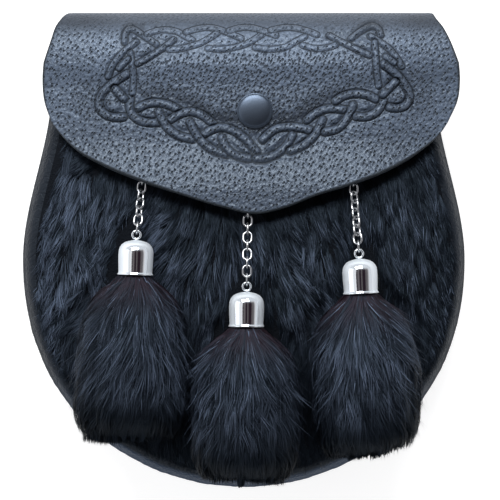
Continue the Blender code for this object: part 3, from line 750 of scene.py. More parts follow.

# %% [markdown]
# ## Flap: the relief
# A plate presses the plait into damp leather. Each strand is a rounded ridge with a groove
# beside it, the ground between strands lies lower, and the field inside the border swells.
# A ridge stops short where it dives under the next one, because its line ends there. Shade
# is painted into the colour as one number: round the pressed strands, over the field and
# towards the point. The same number darkens the sides and the bare corners. A displacement
# in the finish would be another way, but other programs don't show it.
# %% Embossing


def emboss(x, y):
    """At places on the flap: height in mm; ground, field, groove, painted shade 0 to 1."""
    lines = plait_lines(x, y)
    nearest, second = np.full(len(x), FAR), np.full(len(x), FAR)
    ground_depth, dark = np.full(len(x), 0.10), np.zeros(len(x))
    for tool, off in lines:
        closer = off < nearest
        # how much shade to paint round the nearest strand
        ground_depth[closer], dark[closer] = tool.groove_depth * 0.60, tool.rubbed
        second = np.minimum(second, np.maximum(nearest, off))
        nearest = np.minimum(nearest, off)
    ring = np.array(FIELD, float)
    inside, off_field = is_inside(x, y, ring), off_line(x, y, soft_line(ring))
    ears = np.minimum(*(np.hypot(x - ear_x, y - ear_y) for ear_x, ear_y in EARS))
    field = np.where(inside, smooth(off_field / 1.5), 0.0)
    field = np.maximum(field, 0.8 * smooth((13.0 - ears) / 9.0))
    ground = smooth((4.2 - nearest) / 1.2) * smooth((6.0 - second) / 1.6)
    height = 0.80 * np.where(inside, smooth((off_field - 0.3) / 6.5), 0.0)
    height -= ground * ground_depth
    between = smooth((6.5 - second) / 2.0) * smooth((5.0 - nearest) / 1.5)
    # painted shade over the field inside the border, most near its edge, none near the fold
    field_shade = (0.64 + 0.66 * smooth((7.0 - off_field) / 5.5)) * smooth((79.0 - y) / 22.0)
    # painted shade: round strands, in the field, towards the point; darker at sides and corners
    rubbed = np.maximum.reduce([
        0.72 * dark * np.maximum(smooth((3.6 - nearest) / 1.6), between),
        field_shade * inside * smooth((nearest - 1.6) / 0.6),
        0.06 + 0.90 * smooth((68.0 - y) / 30.0),
        0.45 * smooth((np.abs(x - 4.0) - 48.0) / 28.0),
        0.62 * smooth((15.5 - ears) / 7.0),
    ])
    for tool, island in islands(x, y):
        height += island * tool.height * 0.75
        ground = np.minimum(ground, 1.0 - island)
    grooved = np.zeros(len(x))
    for tool, off in lines:
        ridge = tool.height * (1.0 - np.clip(off / tool.half_width, 0.0, 1.0) ** 3.0)
        beside = np.clip((off - tool.half_width) / tool.groove_width, 0.0, 1.0)
        trough = np.sin(math.pi * beside)
        pressed = off < tool.half_width + tool.groove_width
        height = np.where(pressed, ridge - tool.groove_depth * trough - 0.12, height)
        grooved = np.where(pressed, trough, grooved)
        ground = np.where(off < tool.half_width, 0.0, ground)
    return height, ground, field, grooved, rubbed


ridge_x, ridge_y = np.array([STRANDS["deep"][2][2]]).T
ridge_height = float(emboss(ridge_x, ridge_y)[0][0])
print("a strand near the point stands", round(ridge_height, 2), "mm proud")

# %% [markdown]
# ## Flap: its face
# The flat grid is laid on the surface and pushed out along it by the relief. Its columns
# and rows lie closest where the plait is. Near the cut edge the face rolls down, because a
# maker bevels and burnishes an edge. Subdividing the whole face would be another way, but
# most of the points would lie on the plain field.
# %% Flap's face
COLUMNS, ROWS = 400, 224
# share of the columns, and how far across
SPREAD = (0.0, 0.012, 0.045, 0.945, 0.985, 1.0), (0.0, 0.004, 0.112, 0.905, 0.995, 1.0)
# row, and how far down
FALL = (0, 6, 38, 88, 196, 216, 224), (0.0, 1.0, 1.72, 2.0, 2.665, 2.955, 3.0)
BEVEL_WIDTH, BEVEL_DROP = 1.5, 0.9


def flap_normals(across, down):
    """Which way the face looks at each point."""
    step = 0.004
    left, right = np.maximum(across - step, 0.0), np.minimum(across + step, 1.0)
    above, below = np.maximum(down - step, 0.0), np.minimum(down + step, 3.0)
    side = flap_place(right, down) - flap_place(left, down)
    fall = flap_place(across, below) - flap_place(across, above)
    normals = np.cross(fall, side)
    return normals / np.linalg.norm(normals, axis=1, keepdims=True)


def lengths(grid, axis):
    """How far along its row or column each point of a grid is."""
    run = np.linalg.norm(np.diff(grid, axis=axis), axis=2).cumsum(axis=axis)
    return np.insert(run, 0, 0.0, axis=axis)


flap, u, v = add_sheet("flap_leather", COLUMNS, ROWS)
row = np.rint(v * ROWS)
across, down = np.interp(u, *SPREAD), np.interp(row, *FALL)
spots = flap_place(across, down)
x, y = spots[:, 0], spots[:, 1]
order = np.lexsort((u, row))
grid = spots[order].reshape(ROWS + 1, COLUMNS + 1, 3)
run, fall = lengths(grid, 1), lengths(grid, 0)
edge_off = np.empty(len(u))
edge_off[order] = np.minimum.reduce([run, run[:, -1:] - run, fall, fall[-1:] - fall]).ravel()
near_edge = np.clip(1.0 - edge_off / BEVEL_WIDTH, 0.0, 1.0)
height, *marks = (values * smooth((down - 1.55) / 0.12) for values in emboss(x, y))
height -= BEVEL_DROP * (1.0 - np.sqrt(1.0 - near_edge**2))
height += 0.12 * np.sin(x / 13.0 + 1.0) * np.sin(y / 11.0 + 0.4) * (1.0 - near_edge)
set_points(flap, spots + flap_normals(across, down) * height[:, None])
print("relief from", round(float(height.min()), 2), "to", round(float(height.max()), 2), "mm")

# %% [markdown]
# ## Flap: what its finish needs
# The finish has to know where each point lay when the leather was still flat, how near the
# edge it is, what was pressed there and how much shade to paint. Its flat place is kept as
# a UV map, in decimetres, and the rest as numbers on the points. A painted picture would be
# another way, but numbers on the points stay sharp.
# %% Flap's marks
ROLL_MEAN = 22.2
FLAP_MARKS = ("ground", "field", "groove", "rubbed", "edge", "fold")


def keep_numbers(mesh, name, values):
    """Keeps a number for each point, which a finish can read by its name."""
    kept = mesh.attributes.new(name, "FLOAT", "POINT")
    kept.data.foreach_set("value", values.ravel().astype(np.float32))


turned = np.radians(np.clip(180.0 * (2.0 - down), 0, 180))
flat_y = np.where(down < 2.0, FOLD_Y + ROLL_MEAN * turned, y)
flat_y = np.where(down < 1.0, FOLD_Y + ROLL_MEAN * math.pi + FOLD_Y - y, flat_y)
corners = np.empty(len(flap.data.loops), np.int32)
flap.data.loops.foreach_get("vertex_index", corners)
unrolled = stack(x, flat_y)[corners] / 100.0
flap.data.uv_layers[0].name = "unrolled"
flap.data.uv_layers[0].uv.foreach_set("vector", unrolled.astype(np.float32).ravel())
# 1 on the roll: its pits are smoothed, and the finish paints it darker as painted shade
fold_smooth_and_shade = smooth((1.88 - down) / 0.18) * smooth((down - 1.0) / 0.35)
for name, values in zip(FLAP_MARKS, (*marks, near_edge, fold_smooth_and_shade)):
    keep_numbers(flap.data, name, values)
print("flap, unrolled:", round(float(np.ptp(flat_y))), "mm from the tail to the point")

# %% [markdown]
# ## Flap: its inner face
# The inner face is a coarse grid 2 mm behind the outer one. Joined into one mesh, the two
# open borders are bridged, which closes the leather's cut edge all round. Solidify would
# repeat the fine grid on a face that nobody sees.
# %% Flap's inner face
lining, u, v = add_sheet("flap_lining", 64, 60)
across, down = 1.0 - u, v * 3.0
set_points(lining, flap_place(across, down) - flap_normals(across, down) * 2.0)
lining.data.uv_layers[0].name = "unrolled"
select_only(flap, lining)
bpy.ops.object.join()
bpy.ops.object.mode_set(mode="EDIT")
bpy.ops.mesh.select_all(action="DESELECT")
bpy.ops.mesh.select_mode(type="EDGE")
bpy.ops.mesh.select_non_manifold()
bpy.ops.mesh.bridge_edge_loops()
bpy.ops.object.mode_set(mode="OBJECT")
print("both faces are joined:", triangles(flap), "triangles")

# %% [markdown]
# ## Flap: its leather
# Pebbled leather has small pits, the roots of hair that is long gone, 2 to 3 mm apart,
# and a short slanting crease runs out of each. A pattern of cells places them: the way
# from a cell's middle, along the slant and across it, draws both. A second, closer set
# crumples the leather, most of all inside the border. They follow the leather as it lay
# flat, so nothing smears where it rolls, and the fold is stretched smooth. The pits,
# creases, crumples and grooves are painted dark as painted shade. Painted shade also
# darkens the plait, the field, the roll and the lower flap, and the field is a little
# darker still. A photo of such leather would be another way, but it would repeat itself.
# %% Blue-grey pebbled leather
pebbled = finish("pebbled leather")
flat = pebbled.scaled(pebbled.node("ShaderNodeUVMap", {"uv_map": "unrolled"}), 100)
ground, field, groove, rubbed, edge, fold = map(pebbled.attribute, FLAP_MARKS)


def pits_and_creases(degrees, length, width, pit, crease):
    """Pits of this half width in mm, and creases of this length that run out of them."""
    slant = {"Rotation": (0, 0, math.radians(degrees)), "Scale": (length, width, 1)}
    settings = {"vector_type": "TEXTURE"}
    spread = pebbled.node("ShaderNodeMapping", settings, {"Vector": flat, **slant})
    middle = pebbled.cells(spread, 1.0, "Position", Randomness=0.8)
    way = pebbled.node("ShaderNodeVectorMath", {"operation": "SUBTRACT"}, {0: spread, 1: middle})
    along, aside = pebbled.part_of(way, "X") * length, pebbled.part_of(way, "Y") * width
    aside = aside + (pebbled.noise(flat, 0.7) - 0.5) * 0.9 * along
    off = (along * along + aside * aside).maths("SQRT")
    tail = along.step(-crease, -crease * 0.3) * along.step(0.3, 0.0)
    return off.step(pit, pit * 0.5), abs(aside).step(0.34, 0.08) * tail


bare = (1 - ground * 0.85) * (1 - edge) * (1 - groove)
pits, creases = pits_and_creases(55, 2.7, 2.1, 0.52, 1.7)
pits = pits * bare * (0.78 + rubbed * 0.25) * (1 - fold * 0.5)
creases = creases * bare * (1 - fold * 0.9)
dents, crumple = pits_and_creases(62, 2.1, 1.6, 0.46, 1.5)
crumple = (crumple * 0.75).maths("MAXIMUM", dents) * (0.36 + field * 0.64) * bare
# painted shade: dark in pits, creases, crumples and the grooves beside strands
marks = pits.maths("MAXIMUM", creases * 0.66).maths("MAXIMUM", crumple * 0.88)
marks = marks.maths("MAXIMUM", groove.step(0.05, 0.60) * 0.92)
pebble, wash = pebbled.noise(flat, 0.62), pebbled.noise(flat, 0.035, 3.0)
hide = pebbled.mix(pebble.step(0.30, 0.70), (0.052, 0.069, 0.101), (0.118, 0.155, 0.220))
hide = pebbled.mix(wash.step(0.35, 0.75) * 0.25, hide, (0.048, 0.062, 0.088))
# painted shade from the emboss number and on the roll; the field a little darker
hide = pebbled.mix(rubbed * 0.67 + field * 0.10 + fold * 0.76, hide, (0.012, 0.016, 0.026))
hide = pebbled.mix(marks, hide, (0.003, 0.004, 0.007))
hide = pebbled.mix(edge.step(0.1, 0.6), hide, (0.004, 0.005, 0.007))
bumps = pebble * (0.44 - field * 0.02) - pebbled.cells(flat, 0.72) * (0.18 + field * 0.06)
bumps = bumps * (1 - fold * 0.6) - pits * 0.40 - creases * 0.30 - crumple * 0.42
pebbled_leather = pebbled.shader(
    Base_Color=hide,
    Roughness=0.44 + marks * 0.30 + fold * 0.12 + field * 0.05 + edge * 0.45,
    Specular_IOR_Level=0.65,
    Specular_Tint=(0.74, 0.87, 1.0, 1.0),
    Normal=pebbled.bump(bumps),
)
done(flap, pebbled_leather, "pebbled_leather", "flap")

# %% [markdown]
# ## Snap: turned on a lathe
# The snap is a low dome of dark metal, rolled over at its rim. It is modelled as on a
# lathe: a circle at the rim is extruded ring by ring, drawn in each time, and the last
# ring is merged into the top. Spin would do too, but it leaves a seam to merge.
# %% Ring by ring


def turn(name, profile, sides):
    """Extrudes a circle along +Z through rings of (radius, height), and closes both ends."""
    bpy.ops.object.select_all(action="DESELECT")
    radius, height = profile[0]
    bpy.ops.mesh.primitive_circle_add(vertices=sides, radius=radius * MM)
    piece = bpy.context.active_object
    piece.name = name
    bpy.ops.object.mode_set(mode="EDIT")
    bpy.ops.mesh.select_mode(type="VERT")
    bpy.ops.mesh.select_all(action="SELECT")
    bpy.ops.transform.translate(value=(0.0, 0.0, height * MM))
    for next_radius, next_height in profile[1:]:
        rise = (0.0, 0.0, (next_height - height) * MM)
        bpy.ops.mesh.extrude_region_move(TRANSFORM_OT_translate={"value": rise})
        size, middle = next_radius / radius, (0, 0, next_height * MM)
        bpy.ops.transform.resize(value=(size, size, 1.0), center_override=middle)
        radius, height = next_radius, next_height
    bpy.ops.mesh.merge(type="CENTER")
    bpy.ops.mesh.select_all(action="DESELECT")
    bpy.ops.mesh.select_non_manifold()
    bpy.ops.mesh.edge_face_add()
    bpy.ops.mesh.select_all(action="SELECT")
    bpy.ops.mesh.normals_make_consistent(inside=False)
    bpy.ops.object.mode_set(mode="OBJECT")
    return piece


def settle(piece, matrix):
    """Puts a piece in its place and leaves that place in its mesh."""
    piece.matrix_world = matrix
    select_only(piece)
    bpy.ops.object.transform_apply(location=True, rotation=True, scale=True)


print("a turned piece is a list of rings, each a radius and a height")

# %% [markdown]
# ## Snap: its cap
# The rolled rim is a few rings, and the dome is a quarter of a flat oval. Such caps are
# blackened in a bath, so the metal stays dark and a little rough. Black paint would be
# another way, but it would hide the brushed metal.
# %% Snap's cap
SNAP_PLACE = (4.7, 58.3 + MIDDLE_SHIFT, 45.9)
RIM = ((7.1, 0.0), (7.5, 0.1), (7.5, 0.55), (7.38, 0.78), (7.12, 0.86), (6.96, 0.80))
DOME_RADIUS, DOME_FOOT, DOME_RISE = 6.96, 0.84, 1.35
rounds = np.linspace(math.pi / 2, 0.03, 14)
dome = [(DOME_RADIUS * math.sin(a), DOME_FOOT + DOME_RISE * math.cos(a)) for a in rounds]
snap = turn("snap_dome", [*RIM, *dome], 72)
settle(snap, Matrix.Translation(Vector(SNAP_PLACE) * MM))
dark_metal = finish("gunmetal")
brushed = dark_metal.noise(dark_metal.millimetres(), 2.5, 4.0)
gunmetal = dark_metal.shader(
    Base_Color=dark_metal.mix(brushed, (0.050, 0.066, 0.092), (0.086, 0.108, 0.144)),
    Metallic=1.0,
    Roughness=0.36 + brushed * 0.10,
)
done(snap, gunmetal, "gunmetal", "snap_cap")

# %% [markdown]
# ## Fur: how hair is made here
# Real fur is thousands of fine hairs that lie down and gather into locks. Each hair is a
# narrow flat ribbon with a pointed end. Its root sits on the skin, and its path bends
# towards the lock that it belongs to. Particle hair would be another way, but a mesh
# keeps the same shape in every program.
# %% Ribbons


def hair_piece(name, paths, sides, tone_and_painted_light, warmth):
    """One mesh of many hairs. sides are half widths as vectors, lightness and warmth per point.
    """
    count, places = paths.shape[:2]
    body, tip, each = places - 1, 2 * places - 2, 2 * places - 1
    left, right = paths[:, :-1] - sides[:, :-1], paths[:, :-1] + sides[:, :-1]
    points = np.concatenate([left, right, paths[:, -1:]], axis=1)
    faces = []
    for k in range(body - 1):
        faces += [(k, k + 1, body + k + 1), (k, body + k + 1, body + k)]
    faces.append((body - 1, tip, tip - 1))
    corners = np.array(faces) + (np.arange(count) * each)[:, None, None]
    corners = corners.ravel().astype(np.int32)
    mesh = bpy.data.meshes.new(name)
    mesh.vertices.add(count * each)
    mesh.loops.add(len(corners))
    mesh.polygons.add(len(corners) // 3)
    mesh.loops.foreach_set("vertex_index", corners)
    mesh.polygons.foreach_set("loop_start", np.arange(0, len(corners), 3, dtype=np.int32))
    piece = bpy.data.objects.new(name, mesh)
    bpy.context.collection.objects.link(piece)
    set_points(piece, points.reshape(-1, 3))
    mesh.update(calc_edges=True)
    # the lightness holds each hair's tone with painted light and shade in it
    for key, values in (("tone_and_painted_light", tone_and_painted_light), ("warmth", warmth)):
        edges = values[:, :-1]
        keep_numbers(mesh, key, np.concatenate([edges, edges, values[:, -1:]], axis=1))
    return piece


print("triangles in a hair of 4, 5 or 8 places:", [2 * places - 3 for places in (4, 5, 8)])

# %% [markdown]
# ## Fur: its finish
# Black fur is painted darkest at the root, as painted shade, with a painted bluish glint
# where a lock turns up. Each hair carries two numbers of its own: how light it is, its tone
# with painted light and shade in it, and how brown it is. The finish only mixes three
# colours by them. A hair shader would be another way, but it needs real strands, and these
# are ribbons.
# %% Fur's finish
fur = finish("black fur")
# dark to bluish light by each hair's lightness, which holds painted light and shade
colour = fur.mix(fur.attribute("tone_and_painted_light"), (0.001, 0.0015, 0.003), (0.118, 0.152, 0.222))
black_fur = fur.shader(
    Base_Color=fur.mix(fur.attribute("warmth"), colour, (0.016, 0.007, 0.010)),
    Roughness=0.55,
    Specular_IOR_Level=0.20,
    Specular_Tint=(0.55, 0.76, 1.0, 1.0),
)
print(black_fur.name, "is ready")

# %% [markdown]
# ## Where things lie on the fur
# The fur is pressed down under the flap, the chains and the tassels. One function gives
# its depth everywhere, so that the hair, the skin under it and the tassels all agree. Rays
# cast on the finished pieces would tell too, but the fur is made before the tassels are.
# %% Fur's depth
# bar under the flap, top of the cap and end of the tassel as x, y and z, then how many
# links there are, their twist in degrees, and how much the tassel narrows
Drop = namedtuple("Drop", "bar cap end links twist taper")
DROPS = {
    "left": Drop((-42.3, 30.6, 46.1), (-44.8, 3.8, 52.5), (-47.5, -80.5, 47.0), 7, 35.0, 0.04),
    "middle": Drop((1.9, 23.5, 47.6), (1.3, -17.8, 54.0), (0.5, -98.0, 46.0), 11, 0.0, 0.14),
    "right": Drop((45.8, 29.8, 46.3), (48.3, -4.0, 52.5), (52.5, -88.0, 47.0), 9, 45.0, 0.16),
}
FUR_INSET, SKIN_RISE = 7.3, 1.3


def from_segment(x, y, start, end):
    """How far places are from a line between two others, and how far along it they lie."""
    run = np.array(end[:2]) - np.array(start[:2])
    part = np.clip(((x - start[0]) * run[0] + (y - start[1]) * run[1]) / (run @ run), 0.0, 1.0)
    return np.hypot(x - start[0] - run[0] * part, y - start[1] - run[1] * part), part


def inside_band(x, y, drop, narrow, wider):
    """How far places are inside a band round a tassel that is wider below its cap."""
    off, part = from_segment(x, y, drop.cap, drop.end)
    return narrow + wider * smooth(part * 4.0 - 0.4) - off, part


def fur_depth(x, y):
    depth = 6.3 - 5.3 * smooth((y - flap_edge_y(x) + 7.0) / 6.0)
    pressed = np.minimum(depth, 2.0)
    for drop in DROPS.values():
        off_chain, _part = from_segment(x, y, drop.bar, drop.cap)
        inside, _part = inside_band(x, y, drop, 13.0, 16.0)
        near = np.maximum(smooth((8.0 - off_chain) / 5.0), smooth(inside / 5.0))
        depth = np.minimum(depth, depth + (pressed - depth) * near)
    return depth


def fur_z(x, y):
    return panel_z(x, y) + SKIN_RISE + fur_depth(x, y)


print("fur between two tassels:", round(float(fur_depth(25.0, -40.0)), 1), "mm deep")

# %% [markdown]
# ## Fur front: the skin
# Under the hair is the skin with its dense undercoat. It is almost black, and it closes the
# gaps between the locks. Far more hair would close them too, at many more triangles.
# %% Skin
FUR_TOP_Y, FUR_TOP_DIP = 66.0, 22.0
skin, u, v = add_sheet("fur_skin", 64, 52)
start = float(np.interp(-FUR_TOP_Y, -side_y, along_outline[:60]))
spots = body_place(u, v, FUR_INSET, start, FUR_TOP_DIP)
x, y = spots[:, 0], spots[:, 1]
set_points(skin, stack(x, y, panel_z(x, y) + SKIN_RISE + 0.25 * fur_depth(x, y)))
apply(skin, "SOLIDIFY", thickness=0.9 * MM, offset=-1.0)
under = finish("undercoat")
fuzz = under.noise(under.millimetres(), 1.5, 4.0)
undercoat = under.shader(
    Base_Color=under.mix(fuzz, (0.002, 0.0024, 0.003), (0.008, 0.009, 0.012)),
    Roughness=0.9,
    Specular_IOR_Level=0.1,
    Specular_Tint=(0.55, 0.76, 1.0, 1.0),
    Normal=under.bump(fuzz * 0.8),
)
done(skin, undercoat, "fur", "front_fur")

# %% [markdown]
# ## Fur front: locks and tufts
# Hair gathers into locks a few millimetres wide, and locks into tufts. Each lock and tuft
# has a direction and a tone of its own. Their middles stand on a loose grid: pure chance
# would leave bald places and crowded ones.
# %% Locks and tufts
LOCK_WIDTH, LOCK_LENGTH = 4.6, 7.5
TUFT_WIDTH, TUFT_LENGTH = 13.0, 17.0


def clumps(chance, wide, tall):
    """Middles of clumps of this size, on a grid with some chance in it."""
    across, down = np.meshgrid(np.arange(-95, 96, wide), np.arange(-105, 62, tall))
    across[1::2] += wide / 2
    shift = chance.uniform(-0.42, 0.42, (2, *across.shape))
    return (across + shift[0] * wide).ravel(), (down + shift[1] * tall).ravel()


def nearest_clump(x, y, middles, wide, tall):
    """The nearest clump, and how much nearer it is than the next, in clumps."""
    nearest, lead = np.empty(len(x), int), np.empty(len(x))
    for part in np.array_split(np.arange(len(x)), len(x) // 2000 + 1):
        gap = np.hypot((x[part, None] - middles[0]) / wide, (y[part, None] - middles[1]) / tall)
        nearest[part] = gap.argmin(axis=1)
        closest = np.partition(gap, 1, axis=1)
        lead[part] = closest[:, 1] - closest[:, 0]
    return nearest, lead


def strands(chance, x, y, wide, tall, contrast):
    """Draws roots together into thin strands: their new x, and how light each strand is."""
    column = np.round(x / wide)
    strand = column.astype(int) * 7919 + np.round(y / tall).astype(int) * 104729
    tone = chance.uniform(-contrast, contrast, 4096)[strand % 4096]
    return x + (column * wide - x) * 0.65, tone


chance = np.random.default_rng(10)
LOCKS, TUFTS = clumps(chance, LOCK_WIDTH, LOCK_LENGTH), clumps(chance, TUFT_WIDTH, TUFT_LENGTH)
locks, tufts = len(LOCKS[0]), len(TUFTS[0])
LOCK_TURNED, TUFT_TURNED = chance.normal(0.0, 0.15, locks), chance.normal(0.0, 0.20, tufts)
LOCK_LIFTED, LOCK_LONGER = chance.uniform(0.72, 1.05, locks), chance.uniform(0.85, 1.2, locks)
LOCK_TONE, TUFT_TONE = chance.uniform(-0.20, 0.20, locks), chance.uniform(-0.12, 0.12, tufts)
print(locks, "locks in", tufts, "tufts")

# %% [markdown]
# ## Fur front: where hair grows
# The hair is combed down and fans out towards the sides. A strip of leather beside it stays
# bare. Roots are scattered by chance, as in a hide: on a grid they would stand in rows.
# Hair that the flap or a tassel hides would never be seen, so it is left out.
# %% Roots and ground
GROUND_INSETS, GROUND_HEIGHTS = (0.5, 1.0, 2.2, 4.8, 10.6), (16.0, 18.5, 26.5, 30.4, 32.0)


def comb(x, y):
    """The angle that the hair is combed to, from straight down, in radians."""
    swirl = 0.24 * np.sin(x / 17.0 + 0.6) * np.cos(y / 21.0)
    return 0.38 * np.clip(x / 80.0, -1.2, 1.2) + swirl


def bare_edge(x, y):
    """How wide the bare leather is beside the fur. It is widest at the left, higher up."""
    left = 6.6 + 2.6 * smooth((y + 24.0) / 24.0) + 1.4 * smooth((y - 10.0) / 20.0)
    left += 1.4 * smooth((-30.0 - y) / 12.0)
    return np.where(x < 0, left, 6.0 + 1.2 * smooth((-40.0 - y) / 20.0))


def scattered(chance, count):
    """Roots where fur shows: below the flap's edge, inside the outline, beside tassels."""
    x, y = chance.uniform(-90, 90, count * 3), chance.uniform(-98, 52, count * 3)
    keep = y <= flap_edge_y(x) + 12.0
    for drop in DROPS.values():
        inside, part = inside_band(x, y - 9.0, drop, 7.0, 8.0)
        keep &= (inside <= 0.0) | (part >= 0.72)
    x, y = x[keep], y[keep]
    keep = inset_of(x, y) > np.maximum(FUR_INSET + 0.3, bare_edge(x, y) + 0.6)
    return x[keep][:count], y[keep][:count]


def ground_z(x, y, inset):
    """The skin, and past its edge the gusset, which the hair's ends lie over."""
    band = soft(np.clip(inset, 0.5, 10.6), GROUND_INSETS, GROUND_HEIGHTS)
    band = band + 1.0 + 2.0 * smooth((inset - 4.0) / 3.3)
    return np.where(inset > FUR_INSET, panel_z(x, y) + SKIN_RISE, band)


print("bare strip at the left:", round(float(bare_edge(-90.0, 40.0)), 1), "mm")

# %% [markdown]
# ## Fur front: the hair
# Hair in the middle of a lock lies higher than at its edges, and higher hair is painted
# lighter, a painted highlight. The valleys between tufts get painted shade, each hair is
# painted dark at its root and lighter at its tip, and painted shadow darkens the hair beside
# the flap's edge and the tassels. The hair is also darker towards the right and the bottom.
# A brushed pattern on the skin would be another way, but it looks painted. Two pieces share
# the hair, to keep each one light to handle.
# %% Hair of the front
STRAND_WIDTH, STRAND_LENGTH = 0.85, 4.0
# for the four places from a hair's root to its tip
HAIR_RISE, HAIR_WIDTH = (0.05, 0.68, 0.96, 0.92), (1.0, 1.0, 0.8, 0.0)
# painted shade at the root and painted sheen towards the tip
HAIR_PAINTED_LIGHT = (0.05, 0.50, 1.1, 1.2)


def front_tone_and_painted_light(chance, x, y, lift, valley, tone):
    """How light each hair is, 0 to 1: its own tone, with painted light and shade."""
    # painted highlight where a hair lies higher; darker towards the right
    tone_and_painted_light = 0.60 * lift**2.4 - 0.07 + tone + chance.normal(0.0, 0.20, len(x)) - 0.0034 * x
    # painted shade in the valleys between tufts
    tone_and_painted_light *= (0.60 - 0.10 * smooth(x / 50.0)) * (0.30 + 0.70 * valley)
    tone_and_painted_light = np.where(chance.uniform(size=len(x)) < 0.012, 0.60, tone_and_painted_light)
    # painted shadow under the flap's edge
    tone_and_painted_light *= 1.0 - 0.75 * smooth((y - flap_edge_y(x) + 9.0) / 8.0)
    # painted shadow beside each tassel
    for drop in DROPS.values():
        inside, _part = inside_band(x, y, drop, 15.0, 17.0)
        tone_and_painted_light *= 1.0 - 0.70 * smooth(inside / 6.0)
    # darker towards the bottom
    tone_and_painted_light *= 1.0 - 0.50 * smooth((-28.0 - y) / 35.0)
    return np.clip(np.outer(tone_and_painted_light, HAIR_PAINTED_LIGHT), 0.0, 1.0)


def front_hair(name, seed, count):
    chance = np.random.default_rng(seed)
    x, y = scattered(chance, count)
    count = len(x)
    lock, _lead = nearest_clump(x, y, LOCKS, LOCK_WIDTH, LOCK_LENGTH)
    tuft, lead = nearest_clump(x, y, TUFTS, TUFT_WIDTH, TUFT_LENGTH)
    valley = smooth(lead / 0.30)
    lock_x, lock_y = LOCKS[0][lock], LOCKS[1][lock]
    x, tone = strands(chance, x, y, STRAND_WIDTH, STRAND_LENGTH, 0.60)
    tone += LOCK_TONE[lock] + TUFT_TONE[tuft]
    angle = comb(lock_x, lock_y) + LOCK_TURNED[lock] + TUFT_TURNED[tuft]
    angle += chance.normal(0.0, 0.05, count)
    sin, cos = np.sin(angle), np.cos(angle)
    length = 11.5 * LOCK_LONGER[lock] * chance.uniform(0.8, 1.12, count)
    reach = bare_edge(x, y) + chance.normal(0.0, 0.7, count)
    for _ in range(4):
        over = inset_of(x + sin * length, y - cos * length) < reach
        length = np.where(over, length * 0.78, length)
    aside = (x - lock_x) * cos + (y - lock_y) * sin
    draw, bend = chance.uniform(0.35, 0.80, count), chance.normal(0.0, 0.9, count)
    s = np.linspace(0.0, 1.0, len(HAIR_RISE))
    slip = np.outer(-aside * draw, s**1.4) + np.outer(bend, s**2)
    px = x[:, None] + np.outer(sin * length, s) + cos[:, None] * slip
    py = y[:, None] - np.outer(cos * length, s) + sin[:, None] * slip
    inset = inset_of(px.ravel(), py.ravel()).reshape(px.shape)
    lift = LOCK_LIFTED[lock] * (0.72 + 0.28 * valley) * chance.uniform(0.45, 1.0, count)
    lift *= 1.0 - 0.30 * np.clip(np.abs(aside) / 3.0, 0, 1)
    pz = ground_z(px, py, inset) + fur_depth(px, py) * np.outer(lift, HAIR_RISE)
    roll = chance.normal(0.0, 0.28, count)
    width = np.outer(0.12 * chance.uniform(0.7, 1.3, count), HAIR_WIDTH)
    flat_side = stack(cos * np.cos(roll), sin * np.cos(roll), np.sin(roll))
    sides = flat_side[:, None] * width[:, :, None]
    tone_and_painted_light = front_tone_and_painted_light(chance, x, y, lift, valley, tone)
    piece = hair_piece(name, stack(px, py, pz), sides, tone_and_painted_light, np.zeros_like(tone_and_painted_light))
    return done(piece, black_fur, "fur")


front_hair("front_hair_one", 11, 30500)
front_hair("front_hair_two", 12, 30500)

# %% [markdown]
# ## Chains and caps: copying and joining
# A chain maker bends every link round the same rod. Here one link and one cap are made,
# copied, and turned into place along the line that they hang on. Links made one by one
# would never be quite alike.
# %% Rings and copies
WIRE = 0.82


def copy_of(piece, name, matrix):
    made = piece.copy()
    made.data = piece.data.copy()
    made.name = name
    bpy.context.collection.objects.link(made)
    settle(made, matrix)
    return made


def joined(name, parts):
    select_only(*parts)
    bpy.ops.object.join()
    parts[0].name = name
    return parts[0]


def ring(name, length, width):
    """A ring of round wire, drawn out along Y."""
    bpy.ops.object.select_all(action="DESELECT")
    bpy.ops.mesh.primitive_torus_add(
        major_segments=28,
        minor_segments=10,
        major_radius=(width - WIRE) / 2 * MM,
        minor_radius=WIRE / 2 * MM,
    )
    made = bpy.context.active_object
    made.name = name
    for way in (1, -1):
        bpy.ops.object.mode_set(mode="EDIT")
        bpy.ops.mesh.select_all(action="DESELECT")
        bpy.ops.object.mode_set(mode="OBJECT")
        for vert in made.data.vertices:
            vert.select = vert.co.y * way > 0.2 * MM
        bpy.ops.object.mode_set(mode="EDIT")
        bpy.ops.transform.translate(value=(0.0, way * (length - width) / 2 * MM, 0.0))
        bpy.ops.object.mode_set(mode="OBJECT")
    return made


def aim(along, roll):
    """Turns +Y along a direction, with +X level before the roll."""
    along = Vector(along).normalized()
    side = along.cross(Vector((0, 0, 1))).normalized()
    turned = Matrix((side, along, side.cross(along))).transposed()
    return (turned @ Matrix.Rotation(math.radians(roll), 3, "Y")).to_4x4()


def stand_at(place):
    return Matrix.Translation((Vector(place) + Vector((0.0, MIDDLE_SHIFT, 0.0))) * MM)


def keep_edges(piece, degrees):
    """Leaves the edges that turn more than this sharp, and the rest smooth."""
    select_only(piece)
    bpy.ops.object.shade_smooth_by_angle(angle=math.radians(degrees))


print("wire:", WIRE, "mm")

# %% [markdown]
# ## Chains and caps: polished metal
# The caps mirror the tent sharply where they face the eye and blur it where they turn
# away. The wire of the links is a darker metal. One finish does both, by a number that
# only the links carry. Two finishes would do too, but they would share most of their nodes.
# %% Polished metal
polished = finish("polished metal")
haze = polished.noise(polished.millimetres(), 0.6, 3.0)
wire, dulled = polished.attribute("wire"), polished.turned_away().step(0.14, 0.40)
polished_metal = polished.shader(
    Base_Color=polished.mix(wire, (0.76, 0.80, 0.84), (0.44, 0.45, 0.47)),
    Metallic=1.0,
    Roughness=0.07 + haze * 0.05 + dulled * (0.62 - wire * 0.4),
)
print(polished_metal.name, "is ready")

